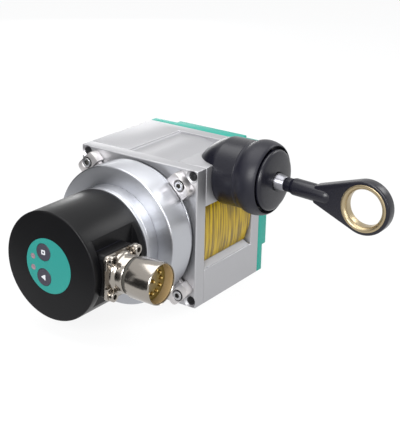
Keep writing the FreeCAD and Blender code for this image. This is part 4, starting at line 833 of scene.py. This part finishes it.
# %% [markdown]
# Four clamps hold the disc. One is shaped lying along +X from the axis: a block with round
# outer corners, a toe that reaches over the lip, and a counterbore. It and three copies are
# then turned into the corners, which is easier than shaping a block that stands at a slant.
# %% Clamps in the corners
CLAMP_SCREW_R = 44.1
CLAMP_FRONT = span("corner_clamps", 1)[0]


clamp = block("clamp_1", (40.1, CLAMP_FRONT, AXIS_Z - 7), (47.4, PLATE_FRONT, AXIS_Z + 7))
round_edges(clamp, lambda a, b: a.x > 47 and b.x > 47 and abs(a.y - b.y) > 4, 2.6, 6)
carve(clamp, block("toe", (35.2, -35.1, AXIS_Z - 5.5), (41.1, LIP_FRONT, AXIS_Z + 5.5)), operation="UNION")
break_edges(clamp, 0.35, segments=2)
carve(clamp, lathe("counterbore", [(0, -38), (3.6, -38), (3.6, -36.9), (3.3, -36.6), (3.3, -34.3),
                                   (1.65, -34.3), (1.65, -30), (0, -30)],
                   centre=(CLAMP_SCREW_R, AXIS_Z), steps=64))
clamps = copies(smooth(clamp), "clamp_%d", [(0, 0)] * 4)
for k, clamp in enumerate(clamps):
    turn(clamp, -45 - 90 * k, (0, AXIS_Z))
done_each(clamps, "clamp", "corner_clamps")
print("Four clamps with", len(clamp.data.polygons), "faces each")

# %% [markdown]
# All screws are cap screws. The head is turned with a rounded rim, and the hexagon socket is a
# six-sided rod taken out of it, with a round lead-in. A dark disc in each socket is painted shade,
# because a deep hole in bright metal looks black, and a lit metal floor would not.
# %% Cap screws
def cap_screws(name, places, front, head_r, head_h, shank_r, length, socket_r, facing="-Y",
               material=None):
    """Screws that are one node in CAD, with their heads at front. facing is where the heads look."""
    depth = 2.2
    way = 1 if facing == "-Y" else -1
    along = "X" if facing == "+X" else "Y"

    def rod_in(rod_name, radius, start, end, sides):
        low, high = sorted((front + way * start, front + way * end))
        return rod(rod_name, radius, low, high, along=along, across=places[0], sides=sides)

    outline = [(0, 0), (head_r - 0.45, 0), (head_r - 0.2, 0.07), (head_r - 0.05, 0.22), (head_r, 0.5),
               (head_r, head_h), (shank_r, head_h), (shank_r, head_h + length), (0, head_h + length)]
    screw = lathe(name + "_1", [(r, front + way * d) for r, d in outline], along=along,
                  centre=places[0], steps=64)
    carve(screw, rod_in("hexagon", socket_r, -1, depth, 6),
          rod_in("socket_rim", socket_r * 0.98, -1, 0.25, 32))
    # Painted shade: a near-black disc near the bottom of each socket stands in for the hole's shade.
    pit = rod_in(name + "_1_pit", socket_r * 0.97, depth - 0.4, depth + 0.1, 6)
    for shade in copies(pit, name + "_%d_pit", places, along):
        done(shade, "housing", "steel", material=FINISH["dark"])
    done_each(copies(smooth(screw), name + "_%d", places, along), "steel", name + "s", material)
    print(len(places), "of", name)


# %% [markdown]
# The clamp screws are M3 and the ones in the green cover M4, so the heads differ in size. Each
# group sits on the corners of a square round the drum's axis.
# %% Screws of the clamps and the rear cover
REAR_SCREW = 33.0
cap_screws("clamp_screw", in_corners(CLAMP_SCREW_R * math.cos(math.radians(45))), front=-37.3,
           head_r=2.7, head_h=3.0, shank_r=1.45, length=17.0, socket_r=1.5)
cap_screws("rear_screw", in_corners(REAR_SCREW), front=39.3,
           head_r=3.5, head_h=3.0, shank_r=1.95, length=10.8, socket_r=1.73, facing="+Y")

# %% [markdown]
# ## Rear cover
# A green moulded plate. Its four corners are lower, for the screws, so the middle stands out as
# a broad cross. Four blocks milled off the corners give that with clean steps.
# %% Rear cover
CORNER_STEP, STEP_Y = 23.5, 36.3
REAR_FACE = span("rear_cover", 1)[1]
rear = block("rear_plate", (HOUSING_LOW[0], HOUSING_HIGH[1], HOUSING_LOW[2]),
             (HOUSING_HIGH[0], REAR_FACE, HOUSING_HIGH[2]))
for (near_x, near_z), (far_x, far_z) in zip(in_corners(CORNER_STEP), in_corners(45)):
    carve(rear, block("corner_cutter", (min(near_x, far_x), STEP_Y, min(near_z, far_z)),
                      (max(near_x, far_x), 45.0, max(near_z, far_z))))
break_edges(rear, 0.55)
for across in in_corners(REAR_SCREW):
    carve(rear, rod("screw_cutter", 2.2, 30, 42, across=across, sides=32))
carve(rear, rod("shaft_cutter", 8.0, 30, 34.3, sides=64))
done(smooth(rear), "housing", "green_cover", "rear_cover")
print("Rear cover with", len(rear.data.polygons), "faces")

# %% [markdown]
# ## Wire outlet
# Three turned mouldings on the wire's axis: the domed base, the bumper that the wire end runs
# against, and the cap with its dimple. The base is hollowed over the barrel it sits on, and two
# screws go through it into the housing.
# %% Outlet base
OUTLET_FACE = span("outlet_base", 0)[1]
base = lathe("outlet_dome", dome_outline() + [
    (18.5, 39.2), (18.5, 51.2), (18.2, OUTLET_FACE), (9.0, OUTLET_FACE), (9.0, 34.0), (1.3, 32.0),
    (1.3, 21.8), (0, 21.8)], steps=160, **OUTLET)
carve(base, rod("barrel_cutter", BARREL_R + 0.65, -40, 40, sides=200))
SCREW_CIRCLE, SCREW_ANGLE = 12.6, math.radians(30)
screw_y = SCREW_CIRCLE * math.sin(SCREW_ANGLE)
screw_z = WIRE_Z - SCREW_CIRCLE * math.cos(SCREW_ANGLE)
for side in (1, -1):
    across = (side * screw_y, screw_z)
    carve(base, rod("shank_cutter", 1.47, 29.0, 52.0, along="X", across=across, sides=32),
          rod("head_cutter", 2.9, 48.9, 53.0, along="X", across=across, sides=32))
done(smooth(base), "housing", "black_plastic", "outlet_base")
print("Outlet base with", len(base.data.polygons), "faces")

# %% [markdown]
# The bumper is a soft rubber ring. Its swell starts from a short straight neck at the back and
# ends in a tight round at the front. A torus would be too regular for that, so the outline is
# drawn point by point.
# %% Bumper
BUMPER_FACE = span("outlet_bumper", 0)[1]
bumper = lathe("bumper_ring", [
    (18.1, OUTLET_FACE), (18.45, OUTLET_FACE), (18.5, 52.2), (18.55, 53.0), (19.1, 54.0), (19.6, 55.0),
    (19.95, 56.0), (20.2, 57.2), (20.3, 58.5), (20.25, 60.0), (20.05, 61.5), (19.65, 63.0), (19.2, 64.2),
    (18.8, 64.9), (18.4, 65.3), (18.1, BUMPER_FACE)], steps=160, **OUTLET)
done(bumper, "housing", "black_rubber", "outlet_bumper")
print("Bumper from x =", OUTLET_FACE, "to", BUMPER_FACE)

# %% [markdown]
# The cap closes the outlet. It is a little smaller than the bumper's mouth, which leaves a dark
# gap round it. Its edge is well rounded, its face swells a little, and the dimple in the
# middle leads the wire end home.
# %% Cap of the outlet
front_cap = lathe("dimpled_cap", [
    (4.02, OUTLET_FACE), (18.0, OUTLET_FACE), (18.0, 60.9), (15.6, 60.9), (15.6, 65.1), (16.3, 65.1),
    (16.5, 65.3), (16.5, 65.9), (16.42, 66.35), (16.2, 66.8), (15.85, 67.15), (15.4, 67.4), (14.8, 67.6),
    (14.0, 67.75), (12.0, 68.05), (9.0, 68.3), (6.2, 68.45), (5.5, 68.42), (5.05, 68.2), (4.95, 67.8),
    (4.9, 64.1), (4.02, 64.1)], steps=160, **OUTLET)
done(front_cap, "housing", "black_plastic", "outlet_cap")
print("Cap of", len(front_cap.data.polygons), "faces")

# %% [markdown]
# ## Wire end
# The wire ends in a crimped ferrule and a moulded eye. Both hang down a little, so they are
# modelled straight along +X from the ferrule's back and then tilted into place. The ferrule's
# thick part is a cylinder, and it narrows in a cone towards the eye.
# %% Ferrule
DROOP = 2.7
END_X = 64.5
STRAIGHT = {"along": "X", "centre": (0, 0)}


def hang(piece):
    """Tilts a piece made along +X from the origin and takes it to the wire's end."""
    piece.matrix_world = (Matrix.Translation(Vector((END_X, 0, WIRE_Z)) * MM)
                          @ Matrix.Rotation(math.radians(DROOP), 4, "Y"))
    return set_down(piece)


ferrule = lathe("crimped_ferrule", [
    (0, 3.0), (0.8, 3.0), (0.8, 0), (3.9, 0), (4.1, 0.05), (4.5, 0.25), (4.7, 0.7), (4.7, 4.4), (4.62, 4.8),
    (3.95, 8.2), (3.8, 8.7), (3.6, 8.95), (3.4, 9.0), (2.0, 9.0), (2.0, 18.0), (0, 18.0)],
    steps=96, **STRAIGHT)
done(hang(ferrule), "wire_end", "steel", "wire_ferrule", FINISH["ferrule"])
print("Ferrule tilted by", DROOP, "degrees")

# %% [markdown]
# The eye is a flat web round a ring, and its two straight edges are tangents from the sleeve to
# the round end. The tangent's lean follows from the two widths. Its edges are rounded first and
# the turned sleeve is joined after that, so the joint stays crisp as on a moulding.
# %% Eye
EYE_X, EYE_R, EYE_HALF = 55.6, 14.2, 3.3
WEB_X, SLEEVE_R = 27.0, 4.6
lean = math.degrees(math.asin((EYE_R - SLEEVE_R) / (EYE_X - WEB_X)))
eye = slab("eye_web", [(WEB_X, -SLEEVE_R)] + arc(EYE_X, 0, EYE_R, -90 - lean, 90 + lean, 64)
           + [(WEB_X, SLEEVE_R)], -EYE_HALF, EYE_HALF)
break_edges(eye, 0.9, segments=4, sharper_than=50)
carve(eye, lathe("eye_sleeve", [
    (0, 18.3), (2.02, 18.3), (2.02, 9.05), (3.4, 9.05), (3.65, 9.25), (3.8, 9.65), (3.8, 12.5), (3.9, 12.9),
    (4.4, 14.1), (SLEEVE_R, 14.7), (SLEEVE_R, 33.0), (4.45, 34.2), (4.0, 35.4), (3.3, 36.3), (2.3, 36.9),
    (0, 37.1)], steps=96, **STRAIGHT), operation="UNION")
carve(eye, rod("eye_bore", 12.52, -5, 5, across=(EYE_X, 0), sides=128))
smooth(eye, 35)
eye.name = "moulded_eye"
done(hang(eye), "wire_end", "black_plastic", "eye_end")
print("Eye with", len(eye.data.polygons), "faces")

# %% [markdown]
# The ring in the eye is bronze, with a narrow flat face and a wide rounded mouth on both sides,
# so that a pin can swivel in it. It is turned about Y, at the place where the tilt puts the eye.
# %% Bush of the eye
droop = math.radians(DROOP)
bush_at = (END_X + EYE_X * math.cos(droop), WIRE_Z - EYE_X * math.sin(droop))
half_section = [(9.8, 2.0), (9.9, 2.4), (10.9, 3.55), (11.2, 3.7), (12.2, 3.7), (12.42, 3.6), (12.5, 3.4)]
bush = lathe("bronze_bush", [(r, -y) for r, y in half_section] + half_section[::-1], centre=bush_at)
done(bush, "wire_end", "bush", "eye_bush")
print("Bush at", [round(v, 2) for v in bush_at])

# %% [markdown]
# The wire itself is drawn out when the eye is pulled. A chain of links would have to be
# unrolled in some way, while a straight taut wire only gets longer.
# %% Drawn wire
WIRE_R = 0.5
wire_start, wire_stop = span("wire_lead", 0)
wire_rope = rod("drawn_wire", WIRE_R, wire_start, wire_stop, along="X", across=(0, WIRE_Z), sides=24)
paint(smooth(wire_rope, 40), FINISH["steel"])
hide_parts("wire_lead")
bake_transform(wire_rope)
print("Drawn wire from x =", wire_start, "to", wire_stop)

# %% [markdown]
# ## Connector
# The round connector stands on the cover's flat, on a black foot that is fitted to it. The foot
# and the flange are both plates with round corners, so one function makes them.
# %% Foot of the connector
CONNECTOR = (CONNECTOR_Y, AXIS_Z)
ON_CONNECTOR = {"along": "X", "centre": CONNECTOR}
FOOT_BACK, FOOT_FRONT = span("connector_block", 0)
CABLE_R = 7.0


def rounded_plate(name, x_low, x_high, half_y, half_z, corner, edge):
    """A plate across X with round corners, centred on the connector's axis."""
    piece = block(name, (x_low, CONNECTOR_Y - half_y, AXIS_Z - half_z),
                  (x_high, CONNECTOR_Y + half_y, AXIS_Z + half_z))
    round_edges(piece, lambda a, b: abs(a.x - b.x) > 0.5 * (x_high - x_low), corner, 8)
    return break_edges(piece, edge, segments=2, sharper_than=60)


foot = rounded_plate("connector_foot", FOOT_BACK, FOOT_FRONT, 11.8, 11.5, 2.5, 0.3)
carve(foot, rod("cable_cutter", CABLE_R, 20, 33, along="X", across=CONNECTOR, sides=64))
done(smooth(foot, 30), "housing", "black_cover", "connector_block")
print("Foot from x =", FOOT_BACK, "to", FOOT_FRONT)

# %% [markdown]
# The flange is cast and plated, with a pad round every screw. The pads are left standing when
# the four bands between them are cut a little deeper. The neck that carries the shell is turned
# and joined to it, and it swells into the flange in a soft curve.
# %% Flange of the connector
FLANGE_FRONT = 33.0
PAD_STEP = 31.9
CONNECTOR_SCREW = 9.4
BANDS = ((0, 12.0, 5.6, 2.6), (0, -12.0, 5.6, 2.6), (13.0, 0, 2.8, 5.0), (-13.0, 0, 2.8, 5.0))
flange = rounded_plate("connector_plate", FOOT_FRONT, FLANGE_FRONT, 13.0, 12.0, 3.0, 0.35)
for y, z, half_y, half_z in BANDS:
    carve(flange, block("band_cutter", (PAD_STEP, CONNECTOR_Y + y - half_y, AXIS_Z + z - half_z),
                        (34.0, CONNECTOR_Y + y + half_y, AXIS_Z + z + half_z)))
neck = lathe("connector_neck", [
    (CABLE_R, 30.7), (11.1, 30.7), (11.1, 33.7), (10.95, 34.0), (10.4, 34.3), (10.0, 34.9), (9.9, 35.8),
    (9.9, 39.0), (9.75, 39.3), (9.0, 39.35), (8.6, 39.6), (8.6, 41.9), (8.98, 42.2), (8.98, 45.0),
    (CABLE_R, 45.0)], **ON_CONNECTOR)
carve(flange, neck, operation="UNION")
carve(flange, rod("cable_cutter", CABLE_R, 30, 43, along="X", across=CONNECTOR, sides=64))
for across in in_corners(CONNECTOR_SCREW, CONNECTOR):
    carve(flange, rod("screw_cutter", 1.6, 30, 35, along="X", across=across, sides=32))
done(smooth(flange, 30), "housing", "nickel", "connector_flange")
print("Connector flange with", len(flange.data.polygons), "faces")

# %% [markdown]
# A dark ring lies in the groove between neck and shell. It is painted shade, and it makes the thin
# black line there. The four screws of the flange are plated as the flange is.
# %% Painted shade in the groove, and screws of the connector
# Painted shade: this dark ring stands in for the shade in the groove between neck and shell.
groove_shade = lathe("groove_shade_ring", [(8.7, 39.45), (9.3, 39.45), (9.5, 39.6), (9.55, 40.0), (9.55, 41.3), (9.5, 41.6),
                             (8.99, 41.65), (8.7, 41.5)], **ON_CONNECTOR)
done(groove_shade, "housing", "black_rubber", material=FINISH["dark"])
cap_screws("connector_screw", in_corners(CONNECTOR_SCREW, CONNECTOR), front=35.2, head_r=2.7, head_h=2.2,
           shank_r=1.45, length=13.8, socket_r=1.4, facing="+X", material=FINISH["nickel"])

# %% [markdown]
# The shell is a smooth plated sleeve, as wide as the thread of the cable's nut, with rounded
# ends and a thin mouth. A pale amber lining covers its inner wall, down to the insert.
# %% Shell of the connector
SHELL_R, SHELL_BACK = 10.8, 41.7
SHELL_MOUTH = span("connector_shell", 0)[1]
shell = lathe("threaded_shell", [
    (9.0, SHELL_BACK), (10.2, SHELL_BACK), (10.65, 41.9), (SHELL_R, 42.3), (SHELL_R, 55.7), (10.7, 56.2),
    (10.5, SHELL_MOUTH), (10.35, SHELL_MOUTH), (10.15, 56.3), (10.1, 55.9), (10.1, 49.5), (9.0, 49.5)],
    **ON_CONNECTOR)
done(shell, "housing", "nickel", "connector_shell")
insert = lathe("contact_insert", [
    (0, 45.05), (8.98, 45.05), (8.98, 49.45), (10.05, 49.55), (10.05, 50.7), (9.9, 50.9), (9.3, 50.9),
    (9.2, 50.6), (8.8, 50.6), (8.7, 50.9), (0, 50.9)], steps=96, **ON_CONNECTOR)
lining = lathe("amber_lining", [(9.85, 50.95), (10.08, 50.95), (10.08, 55.6), (9.95, 55.75), (9.85, 55.6)],
               steps=96, **ON_CONNECTOR)
done(lining, "housing", "insert", material=FINISH["lining"])
print("Shell from x =", SHELL_BACK, "to", SHELL_MOUTH)

# %% [markdown]
# The insert has twelve sockets, one in the middle and eleven in a ring, with a round-nosed gold
# pin in each. The first pin is turned with few steps, because it is very small, and is copied.
# %% Contacts of the connector
RING_PINS, PIN_CIRCLE = 11, 6.2
places = [(0.0, 0.0)]
for k in range(RING_PINS):
    angle = 2 * math.pi * k / RING_PINS
    places.append((PIN_CIRCLE * math.cos(angle), PIN_CIRCLE * math.sin(angle)))
places = [(CONNECTOR_Y + y, AXIS_Z + z) for y, z in places]
for across in places:
    carve(insert, rod("pin_cutter", 1.15, 49.2, 52.0, along="X", across=across, sides=24))
done(smooth(insert, 30), "housing", "insert", "connector_insert")
pin = lathe("contact_pin_1", [(0, 48.9), (0.78, 48.9), (0.78, 51.7), (0.6, 52.1), (0.3, 52.3), (0, 52.35)],
            along="X", centre=places[0], steps=20)
done_each(copies(pin, "contact_pin_%d", places, "X"), "gold", "connector_contacts")
print(len(places), "contacts")

# %% [markdown]
# ## Light, floor and background
# A product photograph like this is taken in a white room. The world gives the even part of the
# light, and it shows white to the camera and in gloss, so that bright metal has something
# white to mirror. The two are told apart by the kind of ray that asks.
# %% White room
def white_share(tree, share=1.0):
    """A socket that gives a share to camera, glossy and transmission rays, and 0 to all others."""
    paths = tree.nodes.new("ShaderNodeLightPath")
    seen = math_node(tree, "ADD", paths.outputs["Is Camera Ray"], paths.outputs["Is Glossy Ray"])
    seen = math_node(tree, "ADD", seen, paths.outputs["Is Transmission Ray"])
    return math_node(tree, "MULTIPLY", math_node(tree, "MINIMUM", seen, 1.0), share)


def background(tree, colour, strength):
    """An even light from all sides."""
    node = tree.nodes.new("ShaderNodeBackground")
    node.inputs["Color"].default_value = colour
    node.inputs["Strength"].default_value = strength
    return node.outputs[0]


world = bpy.data.worlds.new("white_room")
bpy.context.scene.world = world
world.use_nodes = True
tree = world.node_tree
tree.nodes.clear()
choose = tree.nodes.new("ShaderNodeMixShader")
out = tree.nodes.new("ShaderNodeOutputWorld")
link(tree, [(white_share(tree), choose.inputs["Fac"]),
            (background(tree, (0.92, 0.95, 1.0, 1.0), 0.55), choose.inputs[1]),
            (background(tree, (1.0, 1.0, 1.0, 1.0), 1.0), choose.inputs[2]),
            (choose.outputs[0], out.inputs["Surface"])])
bpy.context.scene.view_settings.view_transform = "Standard"
print("World", world.name)

# %% [markdown]
# Five soft boxes give direction: a large one above, the main one in front, and small ones
# behind, at the right and above the back. The small ones draw the bright edges and the fan of
# light on the disc. Places and sizes are in metres.
# %% Soft boxes
AIM = Vector((0.0, -0.03, 0.04))


def soft_box(name, place, size, power):
    """A rectangular lamp that looks at the object."""
    data = bpy.data.lights.new(name, "AREA")
    data.shape = "RECTANGLE"
    data.size, data.size_y = size
    data.energy = power
    lamp = bpy.data.objects.new(name, data)
    bpy.context.scene.collection.objects.link(lamp)
    lamp.location = place
    lamp.rotation_euler = (AIM - Vector(place)).to_track_quat("-Z", "Y").to_euler()


soft_box("top_box", (-0.05, -0.05, 0.75), (0.7, 0.7), 5.0)
soft_box("front_box", (0.22, -0.80, 0.45), (0.5, 0.4), 9.0)
soft_box("back_box", (-0.52, 0.56, 0.13), (0.22, 0.16), 0.45)
soft_box("right_box", (0.80, -0.45, 0.30), (0.12, 0.25), 2.0)
soft_box("edge_box", (0.36, 0.66, 0.58), (0.30, 0.30), 1.7)
print("Five soft boxes")

# %% [markdown]
# In an all white room bright metal would have no shape, so a photographer puts up dark cards.
# There are three here: one at the left, one low in front, and a small one that draws the dark
# band along the connector's shell. They show only in gloss and throw no shadow.
# %% Dark cards
def plain_grey(name, grey, rough):
    """A material of one grey, for what stands round the object."""
    material = bpy.data.materials.new(name)
    material.use_nodes = True
    shader = material.node_tree.nodes["Principled BSDF"]
    shader.inputs["Base Color"].default_value = (grey, grey, grey, 1)
    shader.inputs["Roughness"].default_value = rough
    return material


def dark_card(name, low, high):
    """A dark card that only shows in gloss, between two corners in mm."""
    card = block(name, low, high)
    paint(card, plain_grey(name, 0.02, 1.0))
    card.visible_camera = False
    card.visible_diffuse = False
    card.visible_shadow = False


dark_card("left_card", (-560, -650, 2), (-550, 250, 420))
dark_card("low_card", (-420, -600, 2), (10, -160, 6))
dark_card("streak_card", (-75, -222, 2), (15, -218, 92))
print("Three dark cards")

# %% [markdown]
# The floor is pale and dull, and keeps the shadow. To the camera and in gloss most of it glows
# white, so that it runs into the background without a line. It is wide enough for the eye at
# the end of the drawn wire, three metres out.
# %% Floor
FLOOR_SIZE = 14.0
GLOW_SHARE = 0.88
let_go()
bpy.ops.mesh.primitive_plane_add(size=FLOOR_SIZE, location=(0, 0, 0))
floor = bpy.context.object
floor.name = "floor"
pale = plain_grey("pale_floor", 0.85, 0.9)
tree = pale.node_tree
glow = tree.nodes.new("ShaderNodeEmission")
glow.inputs["Strength"].default_value = 1.0
mix = tree.nodes.new("ShaderNodeMixShader")
link(tree, [(white_share(tree, GLOW_SHARE), mix.inputs["Fac"]),
            (tree.nodes["Principled BSDF"].outputs[0], mix.inputs[1]), (glow.outputs[0], mix.inputs[2]),
            (mix.outputs[0], tree.nodes["Material Output"].inputs["Surface"])])
paint(floor, pale)
print("Floor", FLOOR_SIZE, "m wide")
